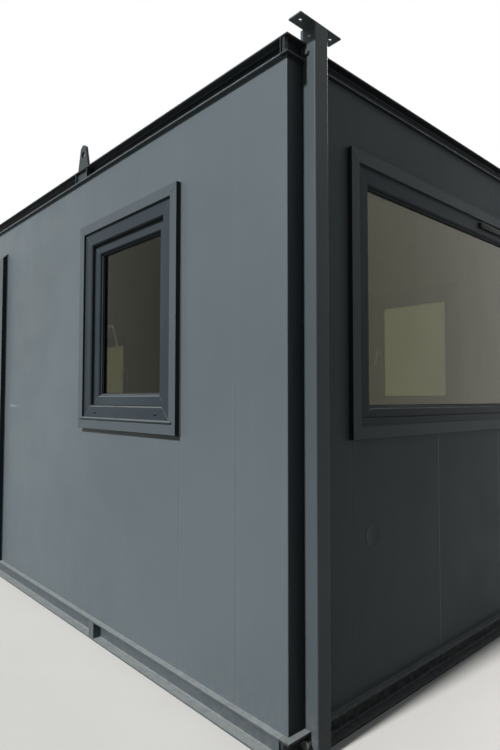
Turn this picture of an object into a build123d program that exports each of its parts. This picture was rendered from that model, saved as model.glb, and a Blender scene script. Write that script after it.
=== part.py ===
from build123d import *
import os

os.makedirs("parts", exist_ok=True)

# Cabin shell. X runs along the cabin, Y across it, Z up, and the front long wall faces -Y.
cabin_length = 7315.0
cabin_width = 2743.0
cabin_height = 2600.0
wall_thickness = 60.0
corner_post_size = 80.0
corner_post_wall = 4.0
corner_post_nose_radius = 5.0

# Base frame, rolled channel with its open side facing out
base_height = 100.0
base_flange_width = 50.0
base_flange_thickness = 8.0
base_web_thickness = 5.0
channel_root_radius = 5.0
base_proud = 28.0

# Roof ring, a smaller channel, also open to the outside
ring_height = 70.0
ring_flange_width = 38.0
ring_flange_thickness = 6.0
ring_web_thickness = 5.0
ring_proud = 16.0
end_plate_thickness = 12.0
end_plate_inset = 3.0

# Jack legs standing in notches of the end channels
leg_size = 75.0
leg_wall = 5.0
leg_corner_radius = 6.0
leg_from_long_wall = 88.0
leg_cap_thickness = 8.0
leg_top_above_ring = 68.0
leg_plate_length = 230.0
leg_plate_width = 60.0
leg_plate_thickness = 6.0
leg_plate_hole_diameter = 14.0
leg_plate_hole_pitch = 170.0
notch_clearance = 1.0
leg_recess_gap = 3.0
leg_pin_diameter = 20.0
leg_pin_clearance = 0.5
leg_pin_overhang = 22.0
leg_pin_head_diameter = 32.0
leg_pin_head_length = 6.0
leg_bolt_diameter = 12.0
leg_bolt_overhang = 10.0
leg_bolt_head_across = 19.0
leg_bolt_head_length = 8.0

# Lifting lugs in the roof ring and the stiffener blocks in the base
lug_from_end = 1640.0
lug_foot_width = 130.0
lug_head_width = 72.0
lug_thickness = 15.0
lug_above_ring = 150.0
lug_hole_diameter = 38.0
lug_hole_below_top = 57.0
lug_gusset_thickness = 8.0
base_block_from_end = 1420.0
base_block_width = 52.0
base_block_inset = 2.0

# Floor and roof inside the frame
joist_pitch = 600.0
joist_height = 90.0
joist_width = 45.0
joist_wall = 3.0
deck_thickness = 18.0
purlin_pitch = 600.0
purlin_width = 45.0
purlin_wall = 3.0
purlin_eaves_height = 46.0
roof_rise = 30.0
roof_sheet_thickness = 3.0
roof_seam_pitch = 1016.0
roof_seam_width = 25.0
roof_seam_height = 18.0
ceiling_thickness = 9.0

# Windows, with a steel surround planted on the wall around a plastic frame
small_window_width = 952.0
small_window_height = 1134.0
small_window_head_below_ring = 285.0
small_window_from_end = 1132.0
end_window_margin = 345.0
end_window_height = 1177.0
end_window_head_below_ring = 242.0
surround_proud = 28.0
surround_face = 51.0
surround_sheet = 3.0
frame_face = 74.0
frame_proud = 17.0
window_depth = 72.0
plastic_bevel = 6.0
sash_face = 53.0
sash_step = 22.0
bead_face = 8.0
bead_setback = 14.0
bead_bevel = 3.0
glass_recess = 26.0
glass_thickness = 6.0
glass_bite = 5.0

# Window fittings: a cill strip under each frame, a vent hood over each end window, and a
# lever handle inside each opening sash
cill_height = 11.0
cill_nose = 6.0
cill_overhang = 24.0
end_cill_height = 33.0
end_cill_proud = 8.0
end_cill_groove = 4.0
vent_length = 400.0
vent_height = 30.0
vent_proud = 12.0
vent_below_frame_top = 11.0
vent_from_middle = 100.0
window_handle_plate_width = 26.0
window_handle_plate_height = 64.0
window_handle_plate_thickness = 5.0
window_handle_neck = 50.0
window_handle_reach = 80.0
window_handle_drop = 110.0
window_handle_width = 16.0
window_handle_bar = 10.0

# Doorway with one outward-opening leaf under a fixed panel
door_from_end = 2865.0
door_surround_width = 1010.0
door_surround_below_ring = 230.0
door_surround_face = 57.0
door_surround_proud = 35.0
door_frame_face = 40.0
door_frame_proud = 33.0
door_head_drip = 45.0
threshold_height = 20.0
transom_bar = 40.0
overpanel_height = 83.0
door_stop_width = 15.0
door_stop_gap = 5.0
door_leaf_thickness = 45.0
door_hinge_gap = 5.0
door_latch_gap = 8.0
door_head_gap = 8.0
overpanel_thickness = 40.0

# Door ironmongery
hinge_from_leaf_end = 205.0
hinge_standoff = 14.0
hinge_knuckle_radius = 9.0
hinge_knuckle_height = 45.0
hinge_knuckle_gap = 1.0
hinge_pin_radius = 5.0
hinge_pin_clearance = 0.05
hinge_plate_thickness = 5.0
hinge_plate_width = 34.0
hinge_arm_thickness = 12.0
handle_height = 1120.0
handle_backset = 60.0
handle_plate_width = 42.0
handle_plate_height = 220.0
handle_plate_thickness = 8.0
handle_neck_radius = 9.0
handle_neck_length = 34.0
handle_lever_length = 120.0
handle_lever_height = 20.0
handle_lever_thickness = 14.0

half_length = cabin_length / 2
half_width = cabin_width / 2

# The door handle reaches further out than anything on the back, so the cabin is set back
# by half the difference and the origin stays under the middle of its overall size
handle_reach = door_frame_proud + handle_plate_thickness + handle_neck_length + handle_lever_thickness
back_reach = max(surround_proud + cill_nose, base_proud, ring_proud)
set_back = (handle_reach - back_reach) / 2
wall_bottom = base_height
wall_top = cabin_height - ring_height
wall_height = wall_top - wall_bottom


def save(node, solids):
    placed = [Pos(0, set_back, 0) * solid for solid in solids]
    export_step(Compound(children=placed), "parts/" + node + ".step")


def block(x_range, y_range, z_range):
    size = (x_range[1] - x_range[0], y_range[1] - y_range[0], z_range[1] - z_range[0])
    return Pos(x_range[0], y_range[0], z_range[0]) * Box(*size, align=(Align.MIN, Align.MIN, Align.MIN))


def other_end(shape):
    return mirror(shape, about=Plane.YZ)


def other_side(shape):
    return mirror(shape, about=Plane.XZ)


def four_corners(shape):
    pair = [shape, other_end(shape)]
    return pair + [other_side(item) for item in pair]


# Rolled channel along X, its web back on the XZ plane and its open side facing -Y
def channel(length, height, flange_width, web_thickness, flange_thickness):
    outline = Rectangle(flange_width, height, align=(Align.MAX, Align.MIN))
    mouth = Rectangle(
        flange_width - web_thickness, height - 2 * flange_thickness, align=(Align.MAX, Align.MIN)
    )
    roots = mouth.vertices().group_by(Axis.X)[-1]
    mouth = fillet(roots, channel_root_radius)
    profile = Plane.YZ * (outline - Pos(-web_thickness, flange_thickness) * mouth)
    return extrude(profile, length / 2, both=True)


def base_channel(length):
    return channel(length, base_height, base_flange_width, base_web_thickness, base_flange_thickness)


def ring_channel(length):
    return channel(length, ring_height, ring_flange_width, ring_web_thickness, ring_flange_thickness)


base_web_back = base_proud - base_flange_width
ring_web_back = ring_proud - ring_flange_width
leg_inner = half_length + base_web_back + base_web_thickness
leg_outer = leg_inner + leg_size
leg_near = leg_from_long_wall - half_width
leg_far = leg_near + leg_size
leg_centre_x = (leg_inner + leg_outer) / 2
leg_centre_y = (leg_near + leg_far) / 2


# Notches that let the two legs of one end stand against the web
def leg_notches(z_low, z_high):
    notch = block(
        (leg_inner, leg_outer + notch_clearance),
        (leg_near - notch_clearance, leg_far + notch_clearance),
        (z_low, z_high),
    )
    return [notch, other_side(notch)]


# Plate that closes an end channel at the corner of the cabin
def corner_plates(z_low, z_high, web_face, proud):
    plate_plan = Polyline(
        (half_length - end_plate_thickness, end_plate_inset - proud - half_width),
        (half_length, end_plate_inset - proud - half_width),
        (half_length, channel_root_radius - half_width),
        (web_face, channel_root_radius - half_width),
        (web_face, -half_width),
        (half_length - end_plate_thickness, -half_width),
        close=True,
    )
    corner = Pos(0, 0, z_low) * extrude(make_face(plate_plan), z_high - z_low)
    return [corner, other_side(corner)]


def end_rail(profile, proud, web_back, z_base, flange_thickness, height, web_thickness):
    rail = Pos(half_length + web_back, 0, z_base) * Rot(0, 0, 90) * profile
    for notch in leg_notches(z_base, z_base + height):
        rail = rail - notch
    inside = (z_base + flange_thickness, z_base + height - flange_thickness)
    for plate in corner_plates(*inside, half_length + web_back + web_thickness, proud):
        rail = rail + plate
    return rail


# Base frame
base_outer_y = half_width + base_proud
base_front = Pos(0, -half_width - base_web_back, 0) * base_channel(cabin_length + 2 * base_web_back)
save("base_rail_front", [base_front])
save("base_rail_back", [other_side(base_front)])

base_end = end_rail(
    base_channel(2 * base_outer_y),
    base_proud,
    base_web_back,
    0.0,
    base_flange_thickness,
    base_height,
    base_web_thickness,
)
save("base_rail_end_right", [base_end])
save("base_rail_end_left", [other_end(base_end)])

block_x = half_length - base_block_from_end
block_back = base_flange_width - base_web_thickness - base_outer_y
base_block = block(
    (block_x - base_block_width / 2, block_x + base_block_width / 2),
    (base_block_inset - base_outer_y, block_back),
    (base_flange_thickness, base_height - base_flange_thickness),
)
block_root_edges = base_block.edges().filter_by(Axis.X).group_by(Axis.Y)[-1]
base_block = chamfer(block_root_edges, channel_root_radius)
save("base_stiffeners", four_corners(base_block))

# Floor joists, lipped channels between the long rails, and the deck on them
joist_span = 2 * (half_width + base_web_back)
joist_count = int((cabin_length - 2 * corner_post_size) // joist_pitch)
joist_profile = Rectangle(joist_width, joist_height, align=(Align.CENTER, Align.MAX))
joist_mouth = Pos(joist_wall, -joist_wall) * Rectangle(
    joist_width, joist_height - 2 * joist_wall, align=(Align.CENTER, Align.MAX)
)
joist = extrude(Plane.XZ * (joist_profile - joist_mouth), joist_span / 2, both=True)
joist_spots = GridLocations(joist_pitch, 1, joist_count, 1)
save("floor_joists", [Pos(0, 0, base_height) * spot * joist for spot in joist_spots])

inner_x = half_length - wall_thickness
inner_y = half_width - wall_thickness
floor_deck = block((-inner_x, inner_x), (-inner_y, inner_y), (base_height, base_height + deck_thickness))
for corner in four_corners(
    block(
        (half_length - corner_post_size, half_length),
        (-half_width, corner_post_size - half_width),
        (base_height, base_height + deck_thickness),
    )
):
    floor_deck = floor_deck - corner
save("floor_deck", [floor_deck])

# Corner posts, folded square columns with one rounded outer corner
post_section = Rectangle(corner_post_size, corner_post_size, align=(Align.MAX, Align.MIN))
post_nose = post_section.vertices().sort_by(Axis.Y)[:2].sort_by(Axis.X)[-1]
post_section = fillet(post_nose, corner_post_nose_radius)
post_core = corner_post_size - 2 * corner_post_wall
post_section = post_section - Pos(-corner_post_wall, corner_post_wall) * Rectangle(
    post_core, post_core, align=(Align.MAX, Align.MIN)
)
post = Pos(half_length, -half_width, wall_bottom) * extrude(post_section, wall_height)
save("corner_posts", four_corners(post))


# Window opening sizes, from the outside of the surround inwards
def inset(size, margin):
    return (size[0] - 2 * margin, size[1] - 2 * margin)


small_window = (small_window_width, small_window_height)
small_window_x = half_length - small_window_from_end
small_window_z = wall_top - small_window_head_below_ring - small_window_height / 2
end_window = (cabin_width - 2 * end_window_margin, end_window_height)
end_window_z = wall_top - end_window_head_below_ring - end_window_height / 2


# A through cut centred on the opening, made in a wall that faces -Y
def window_cut(size, x_centre):
    opening = inset(size, surround_face)
    return Pos(x_centre, -half_width, small_window_z) * Box(opening[0], 4 * wall_thickness, opening[1])


door_right = half_length - door_from_end
door_left = door_right - door_surround_width
opening_right = door_right - door_surround_face
opening_left = door_left + door_surround_face
door_surround_top = wall_top - door_surround_below_ring
opening_top = door_surround_top - door_surround_face
long_wall_y = (-half_width, wall_thickness - half_width)
wall_z = (wall_bottom, wall_top)
post_inner_x = half_length - corner_post_size

front_right = block((opening_right, post_inner_x), long_wall_y, wall_z) - window_cut(
    small_window, small_window_x
)
front_left = block((-post_inner_x, opening_left), long_wall_y, wall_z) - window_cut(
    small_window, -small_window_x
)
save("front_wall_right", [front_right])
save("front_wall_left", [front_left])
save("front_wall_over_door", [block((opening_left, opening_right), long_wall_y, (opening_top, wall_top))])

back_wall = other_side(block((-post_inner_x, post_inner_x), long_wall_y, wall_z))
for window_x in (small_window_x, -small_window_x):
    back_wall = back_wall - other_side(window_cut(small_window, window_x))
save("back_wall", [back_wall])

# End walls, extruded from a plan that steps back behind each leg
leg_recess_face = leg_inner - leg_recess_gap
post_inner_y = half_width - corner_post_size
recess_edge_y = -(leg_far + leg_recess_gap)
end_plan = Polyline(
    (half_length - wall_thickness, -post_inner_y),
    (leg_recess_face, -post_inner_y),
    (leg_recess_face, -recess_edge_y),
    (half_length, -recess_edge_y),
    (half_length, recess_edge_y),
    (leg_recess_face, recess_edge_y),
    (leg_recess_face, post_inner_y),
    (half_length - wall_thickness, post_inner_y),
    close=True,
)
end_opening = inset(end_window, surround_face)
end_wall = Pos(0, 0, wall_bottom) * extrude(make_face(end_plan), wall_height)
end_wall = end_wall - Pos(half_length, 0, end_window_z) * Box(
    4 * wall_thickness, end_opening[0], end_opening[1]
)
save("end_wall_right", [end_wall])
save("end_wall_left", [other_end(end_wall)])

# Roof ring, with the top flange slotted where each lug rises through it
lug_x = half_length - lug_from_end
ring_outer_y = half_width + ring_proud
lug_back = ring_flange_width - ring_web_thickness - ring_outer_y - channel_root_radius
lug_front = lug_back - lug_thickness
lug_foot_z = wall_top + ring_flange_thickness
lug_slot = block(
    (lug_x - lug_foot_width / 2, lug_x + lug_foot_width / 2),
    (lug_front, lug_back),
    (cabin_height - ring_flange_thickness, cabin_height),
)
ring_front = Pos(0, -half_width - ring_web_back, wall_top) * ring_channel(
    cabin_length + 2 * ring_web_back
)
ring_front = ring_front - lug_slot - other_end(lug_slot)
save("roof_rail_front", [ring_front])
save("roof_rail_back", [other_side(ring_front)])

ring_end = end_rail(
    ring_channel(2 * ring_outer_y),
    ring_proud,
    ring_web_back,
    wall_top,
    ring_flange_thickness,
    ring_height,
    ring_web_thickness,
)
save("roof_rail_end_right", [ring_end])
save("roof_rail_end_left", [other_end(ring_end)])

# Lifting lug, a tapered plate with a rounded head, held by a gusset on each side
lug_top_z = cabin_height + lug_above_ring
lug_hole_z = lug_top_z - lug_hole_below_top
lug_head_radius = lug_head_width / 2
lug_outline = Polyline(
    (-lug_foot_width / 2, lug_foot_z),
    (lug_foot_width / 2, lug_foot_z),
    (lug_foot_width / 2, cabin_height),
    (lug_head_radius, lug_top_z - lug_head_radius),
    (-lug_head_radius, lug_top_z - lug_head_radius),
    (-lug_foot_width / 2, cabin_height),
    close=True,
)
lug_face = make_face(lug_outline) + Pos(0, lug_top_z - lug_head_radius) * Circle(lug_head_radius)
lug_face = lug_face - Pos(0, lug_hole_z) * Circle(lug_hole_diameter / 2)
lug_plate = Pos(lug_x, lug_back, 0) * extrude(Plane.XZ * lug_face, lug_thickness)
lug = lug_plate
for side in (-1, 1):
    gusset_x = lug_x + side * (lug_foot_width / 2 + lug_gusset_thickness / 2)
    lug = lug + block(
        (gusset_x - lug_gusset_thickness / 2, gusset_x + lug_gusset_thickness / 2),
        (base_block_inset - ring_outer_y, lug_back),
        (lug_foot_z, cabin_height - ring_flange_thickness),
    )
save("lifting_lugs", four_corners(lug))


# Purlins with a pitched top edge between the ring webs, the folded roof sheet over them
def pitched_face(half_span, z_low, z_eaves, rise):
    return make_face(
        Polyline(
            (-half_span, z_low), (half_span, z_low), (half_span, z_eaves), (0, z_eaves + rise),
            (-half_span, z_eaves), close=True,
        )
    )


roof_half_span = half_width + ring_web_back
purlin_top = wall_top + purlin_eaves_height
purlin_solid = extrude(
    Plane.YZ * pitched_face(roof_half_span, wall_top, purlin_top, roof_rise), purlin_width / 2, both=True
)
purlin_bay = extrude(
    Plane.YZ * pitched_face(
        roof_half_span, wall_top + purlin_wall, purlin_top - purlin_wall, roof_rise
    ),
    purlin_width,
)
purlin = purlin_solid - Pos(purlin_wall - purlin_width / 2, 0, 0) * purlin_bay
purlin_count = int((cabin_length - 2 * corner_post_size) // purlin_pitch)
save("roof_purlins", [spot * purlin for spot in GridLocations(purlin_pitch, 1, purlin_count, 1)])

roof_half_length = half_length + ring_web_back
sheet_low = pitched_face(roof_half_span, purlin_top, purlin_top + roof_sheet_thickness, roof_rise)
sheet_low = sheet_low - pitched_face(roof_half_span, purlin_top - roof_rise, purlin_top, roof_rise)
roof_sheet = extrude(Plane.YZ * sheet_low, roof_half_length, both=True)
seam_bottom = purlin_top + roof_sheet_thickness / 2
seam_face = pitched_face(roof_half_span, seam_bottom, seam_bottom + roof_seam_height, roof_rise)
seam_face = seam_face - pitched_face(roof_half_span, seam_bottom - roof_rise, seam_bottom, roof_rise)
seam = extrude(Plane.YZ * seam_face, roof_seam_width / 2, both=True)
seam_count = int(2 * roof_half_length // roof_seam_pitch)
for spot in GridLocations(roof_seam_pitch, 1, seam_count, 1):
    roof_sheet = roof_sheet + spot * seam
save("roof_sheet", [roof_sheet])

ceiling = block((-inner_x, inner_x), (-inner_y, inner_y), (wall_top - ceiling_thickness, wall_top))
for corner in four_corners(
    block(
        (half_length - corner_post_size, half_length),
        (-half_width, corner_post_size - half_width),
        (wall_top - ceiling_thickness, wall_top),
    )
):
    ceiling = ceiling - corner
save("ceiling_lining", [ceiling])

# Jack leg, a rolled square tube with a closed foot and a drilled plate across its top
leg_top = cabin_height + leg_top_above_ring
tube_section = RectangleRounded(leg_size, leg_size, leg_corner_radius)
tube_bore = Rectangle(leg_size - 2 * leg_wall, leg_size - 2 * leg_wall)
leg = extrude(tube_section - tube_bore, leg_top - leg_plate_thickness)
leg = leg + extrude(tube_section, leg_cap_thickness)
top_plate_sketch = Rectangle(leg_plate_width, leg_plate_length)
top_plate_sketch -= [
    Pos(0, side * leg_plate_hole_pitch / 2) * Circle(leg_plate_hole_diameter / 2) for side in (-1, 1)
]
plate_shift = (leg_size - leg_plate_width) / 2
top_plate = Pos(plate_shift, 0, leg_top - leg_plate_thickness) * extrude(
    top_plate_sketch, leg_plate_thickness
)
pin_z = base_height / 2 + base_flange_thickness
bolt_z = wall_top + ring_height / 2
for hole_z, diameter in ((pin_z, leg_pin_diameter), (bolt_z, leg_bolt_diameter)):
    bore_radius = diameter / 2 + leg_pin_clearance
    leg = leg - Pos(0, 0, hole_z) * Rot(90, 0, 0) * Cylinder(bore_radius, 2 * leg_size)
leg = Pos(leg_centre_x, leg_centre_y, 0) * (leg + top_plate)
save("jack_leg_front_right", [leg])
save("jack_leg_front_left", [other_end(leg)])
save("jack_leg_back_right", [other_side(leg)])
save("jack_leg_back_left", [other_side(other_end(leg))])


# Locking pin with a round collar through the foot of each leg
pin_reach = leg_size / 2 + leg_pin_overhang
leg_pin = Cylinder(leg_pin_diameter / 2, 2 * pin_reach)
leg_pin = leg_pin + Pos(0, 0, pin_reach) * Cylinder(
    leg_pin_head_diameter / 2, leg_pin_head_length, align=(Align.CENTER, Align.CENTER, Align.MIN)
)

# Hexagon bolt through the head of each leg
leg_bolt = Pos(0, 0, -leg_size / 2 - leg_bolt_overhang) * Cylinder(
    leg_bolt_diameter / 2, leg_size + leg_bolt_overhang, align=(Align.CENTER, Align.CENTER, Align.MIN)
)
bolt_head = RegularPolygon(leg_bolt_head_across / 2, 6, major_radius=False)
leg_bolt = leg_bolt + Pos(0, 0, leg_size / 2) * extrude(bolt_head, leg_bolt_head_length)

leg_pins = []
for fixing, fixing_z in ((leg_pin, pin_z), (leg_bolt, bolt_z)):
    placed_fixing = Pos(leg_centre_x, leg_centre_y, fixing_z) * Rot(90, 0, 0) * fixing
    leg_pins = leg_pins + four_corners(placed_fixing)
save("leg_pins", leg_pins)


# Window pieces. Each is one profile swept round its rectangle with mitred corners, in a window
# that faces -Y: first number inwards from the outer edge, second number back from its own front
def mitred(profile, size, y_front):
    rail_path = Plane.XZ * Rectangle(*size)
    start = rail_path.edges().sort_by(Axis.Z)[0]
    section_plane = Plane(origin=start @ 0.5, x_dir=(0, 0, 1), z_dir=(1, 0, 0))
    section = section_plane * make_face(Polyline(*profile, close=True))
    return Pos(0, y_front, 0) * sweep(section, rail_path.wire(), transition=Transition.RIGHT)


def surround_profile():
    inner = surround_face - surround_sheet
    return (
        (0, -surround_proud), (0, 0), (surround_face, 0), (surround_face, -surround_proud),
        (inner, -surround_proud), (inner, -surround_sheet), (surround_sheet, -surround_sheet),
        (surround_sheet, -surround_proud),
    )


# Outer part of a frame or sash, up to its inner edge
def face_band(width, depth):
    return ((0, -depth), (0, 0), (width - plastic_bevel, 0), (width, -plastic_bevel))


# Glazing bead with the groove that holds the glass, set back behind the band before it
def glazing_bead(start, depth):
    tip = start + bead_face
    glass_back = glass_recess + glass_thickness
    return (
        (start, -bead_setback), (tip - bead_bevel, -bead_setback), (tip, -bead_setback - bead_bevel),
        (tip, -glass_recess), (tip - glass_bite, -glass_recess), (tip - glass_bite, -glass_back),
        (tip, -glass_back), (tip, -depth),
    )


# Sheet of glass that fills the groove of the bead around it, behind a face at face_y
def glazing(bead_outer, face_y):
    pane = inset(bead_outer, bead_face - glass_bite)
    pane_back = face_y + glass_recess + glass_thickness
    return Pos(0, pane_back, 0) * extrude(Plane.XZ * Rectangle(*pane), glass_thickness)


frame_y = -frame_proud
sash_y = frame_y + sash_step
sash_depth = window_depth - sash_step
opening_frame_profile = face_band(frame_face, window_depth) + ((frame_face, -window_depth),)
fixed_frame_profile = face_band(frame_face, window_depth) + glazing_bead(frame_face, window_depth)
sash_profile = face_band(sash_face, sash_depth) + glazing_bead(sash_face, sash_depth)

frame_margin = surround_face
sash_margin = frame_margin + frame_face
bead_margin = sash_margin + sash_face

# Sloped strip along the foot of a small window, on the surround and lapping over its sides
frame_half_width = small_window_width / 2 - frame_margin
frame_foot = frame_margin - small_window_height / 2
nose_y = -surround_proud - cill_nose
cill_z = (frame_foot, frame_foot + cill_height)
cill = block((-frame_half_width, frame_half_width), (nose_y, frame_y), cill_z)
cill_end = frame_half_width + cill_overhang
cill = cill + block((-cill_end, cill_end), (nose_y, -surround_proud), cill_z)
cill = chamfer(cill.edges().filter_by(Axis.X).group_by(Axis.Z)[-1].sort_by(Axis.Y)[0], cill_nose)

# Lever handle behind the stile nearer the middle of the cabin, flaring out as it drops
sash_back = sash_y + sash_depth
handle_grip = window_handle_width / 2
handle_outline = Polyline(
    (sash_back, -handle_grip),
    (sash_back, handle_grip),
    (sash_back + window_handle_neck, handle_grip),
    (sash_back + window_handle_reach, -window_handle_drop),
    (sash_back + window_handle_reach - window_handle_bar, -window_handle_drop),
    (sash_back + window_handle_neck - window_handle_bar, -handle_grip),
    close=True,
)
window_handle = extrude(Plane.YZ * make_face(handle_outline), handle_grip, both=True)
window_handle = window_handle + block(
    (-window_handle_plate_width / 2, window_handle_plate_width / 2),
    (sash_back, sash_back + window_handle_plate_thickness),
    (-window_handle_plate_height / 2, window_handle_plate_height / 2),
)
handle_offset = small_window_width / 2 - sash_margin - sash_face / 2
sash = mitred(sash_profile, inset(small_window, sash_margin), sash_y)

small_window_pieces = {
    "surrounds": mitred(surround_profile(), small_window, -surround_proud),
    "frames": mitred(opening_frame_profile, inset(small_window, frame_margin), frame_y) + cill,
    "sashes": sash + Pos(-handle_offset, 0, 0) * window_handle,
    "glass": glazing(inset(small_window, bead_margin), sash_y),
}
window_spot = Pos(small_window_x, -half_width, small_window_z)
for piece, shape in small_window_pieces.items():
    front_pair = [window_spot * shape, other_end(window_spot * shape)]
    save("front_window_" + piece, front_pair)
    save("back_window_" + piece, [other_side(item) for item in front_pair])

# Cill strip of an end window under its groove, and the hood of its vent
end_frame_half_width = end_window[0] / 2 - frame_margin
end_foot = frame_margin - end_window[1] / 2
end_span = (-end_frame_half_width, end_frame_half_width)
end_cill_top = end_foot + end_cill_height
end_cill = block(end_span, (frame_y - end_cill_proud, frame_y), (end_foot, end_cill_top))
cill_groove = block(
    end_span, (frame_y, frame_y + end_cill_proud), (end_cill_top, end_cill_top + end_cill_groove)
)
vent_x = vent_from_middle + vent_length / 2
vent_z = end_window[1] / 2 - frame_margin - vent_below_frame_top - vent_height / 2
vent_hood = Pos(vent_x, frame_y, vent_z) * extrude(
    Plane.XZ * SlotOverall(vent_length, vent_height), vent_proud
)
end_frame = mitred(fixed_frame_profile, inset(end_window, frame_margin), frame_y)

end_window_pieces = {
    "surrounds": mitred(surround_profile(), end_window, -surround_proud),
    "frames": end_frame - cill_groove + end_cill + vent_hood,
    "glass": glazing(inset(end_window, sash_margin), frame_y),
}
end_spot = Pos(half_length, 0, end_window_z) * Rot(0, 0, 90)
for piece, shape in end_window_pieces.items():
    save("end_window_" + piece, [end_spot * shape, other_end(end_spot * shape)])

# Doorway, a three-sided surround with a drip strip along its head
surround_front = -half_width - door_surround_proud
jamb_y = (surround_front, -half_width)
door_surround = block((door_left, door_right), jamb_y, (wall_bottom, door_surround_top))
door_surround = door_surround - block((opening_left, opening_right), jamb_y, (wall_bottom, opening_top))
drip = block((door_left, door_right), jamb_y, (door_surround_top, door_surround_top + door_head_drip))
drip_slope = drip.edges().filter_by(Axis.X).group_by(Axis.Z)[-1].sort_by(Axis.Y)[0]
drip = chamfer(drip_slope, door_surround_proud - surround_sheet)
save("door_surround", [door_surround + drip])

# Fixed door frame with a stop behind the leaf, a threshold and a bar under the fixed panel
frame_front = -half_width - door_frame_proud
frame_back = wall_thickness - half_width
clear_left = opening_left + door_frame_face
clear_right = opening_right - door_frame_face
clear_top = opening_top - door_frame_face
clear_bottom = wall_bottom + threshold_height
transom_height = clear_top - overpanel_height - transom_bar
leaf_back = frame_front + door_leaf_thickness
stop_front = leaf_back + door_stop_gap
door_frame = block((opening_left, opening_right), (frame_front, frame_back), (wall_bottom, opening_top))
leaf_pocket = block((clear_left, clear_right), (frame_front, stop_front), (clear_bottom, transom_height))
panel_pocket_z = (transom_height + transom_bar, clear_top)
way_through = block(
    (clear_left + door_stop_width, clear_right - door_stop_width),
    (stop_front, frame_back),
    (clear_bottom, transom_height - door_stop_width),
)
door_frame = door_frame - leaf_pocket - way_through
door_frame = door_frame - block((clear_left, clear_right), (frame_front, frame_back), panel_pocket_z)
save("door_frame", [door_frame])
overpanel_y = (frame_front + overpanel_thickness / 2, frame_front + overpanel_thickness * 3 / 2)
save("door_overpanel", [block((clear_left, clear_right), overpanel_y, panel_pocket_z)])

# Door leaf, a flat steel leaf with a softly broken front edge
leaf_left = clear_left + door_hinge_gap
leaf_right = clear_right - door_latch_gap
leaf_z = (clear_bottom + door_head_gap, transom_height - door_head_gap)
door_leaf = block((leaf_left, leaf_right), (frame_front, leaf_back), leaf_z)
door_leaf = chamfer(door_leaf.faces().sort_by(Axis.Y)[0].edges(), surround_sheet)
save("door_leaf", [door_leaf])

# Hinges, with the fixed pin half below and the leaf half above it
hinge_x = clear_left + door_hinge_gap / 2
hinge_y = frame_front - hinge_standoff
plate_y = (frame_front - hinge_plate_thickness, frame_front)
arm_y = (hinge_y - hinge_arm_thickness / 2, frame_front - hinge_plate_thickness)


def knuckle(z_low):
    spot = Pos(hinge_x, hinge_y, z_low)
    return spot * Cylinder(
        hinge_knuckle_radius, hinge_knuckle_height, align=(Align.CENTER, Align.CENTER, Align.MIN)
    )


hinge_heights = (
    leaf_z[0] + hinge_from_leaf_end,
    sum(leaf_z) / 2,
    leaf_z[1] - hinge_from_leaf_end,
)
fixed_halves = []
leaf_halves = []
for hinge_z in hinge_heights:
    low = (hinge_z - hinge_knuckle_height, hinge_z)
    high = (hinge_z + hinge_knuckle_gap, hinge_z + hinge_knuckle_gap + hinge_knuckle_height)
    fixed = knuckle(low[0])
    fixed = fixed + block((clear_left - hinge_plate_width, clear_left - door_hinge_gap), plate_y, low)
    fixed = fixed + block((clear_left - 2 * door_hinge_gap, hinge_x), arm_y, low)
    fixed = fixed - block(
        (clear_left - door_hinge_gap, clear_left + hinge_plate_width),
        (frame_front - hinge_plate_thickness, frame_front),
        low,
    )
    pin = Pos(hinge_x, hinge_y, hinge_z) * Cylinder(
        hinge_pin_radius, hinge_knuckle_height, align=(Align.CENTER, Align.CENTER, Align.MIN)
    )
    fixed_halves.append(fixed + pin)
    moving = knuckle(high[0])
    moving = moving + block((leaf_left, leaf_left + hinge_plate_width), plate_y, high)
    moving = moving + block((hinge_x, leaf_left + 2 * door_hinge_gap), arm_y, high)
    bore_low = Pos(hinge_x, hinge_y, high[0] - hinge_knuckle_gap)
    moving = moving - bore_low * Cylinder(
        hinge_pin_radius + hinge_pin_clearance,
        hinge_knuckle_height + 2 * hinge_knuckle_gap,
        align=(Align.CENTER, Align.CENTER, Align.MIN),
    )
    leaf_halves.append(moving)
save("door_hinge_pins", fixed_halves)
save("door_hinge_knuckles", leaf_halves)

# Lever handle on a long plate, outside and inside the leaf
handle_x = leaf_right - handle_backset


def handle_side(outward, y_face):
    y_plate = sorted((y_face, y_face + outward * handle_plate_thickness))
    plate = block(
        (handle_x - handle_plate_width / 2, handle_x + handle_plate_width / 2),
        y_plate,
        (handle_height - handle_plate_height / 2, handle_height + handle_plate_height / 2),
    )
    neck_end = y_face + outward * (handle_plate_thickness + handle_neck_length)
    neck = Pos(handle_x, (y_face + neck_end) / 2, handle_height) * Rot(90, 0, 0) * Cylinder(
        handle_neck_radius, abs(neck_end - y_face)
    )
    lever = block(
        (handle_x - handle_lever_length, handle_x + handle_neck_radius),
        sorted((neck_end, neck_end + outward * handle_lever_thickness)),
        (handle_height - handle_lever_height / 2, handle_height + handle_lever_height / 2),
    )
    return plate + neck + lever


save("door_handle", [handle_side(-1, frame_front), handle_side(1, leaf_back)])
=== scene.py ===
# %% [markdown]
# # Portable site cabin
# This is a steel cabin, about 7.3 m long and 2.7 m wide, of the sort that stands on building sites as an
# office or a mess room. Its walls are flat sheet steel painted anthracite grey, it has a channel frame at
# the floor and at the roof, and four square legs stand in notches at its corners.
#
# The cabin itself comes from a CAD model. Everything in this file is what turns those solids into
# something that looks real: paint, glass, rubber, dust and the many small fittings.

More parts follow.
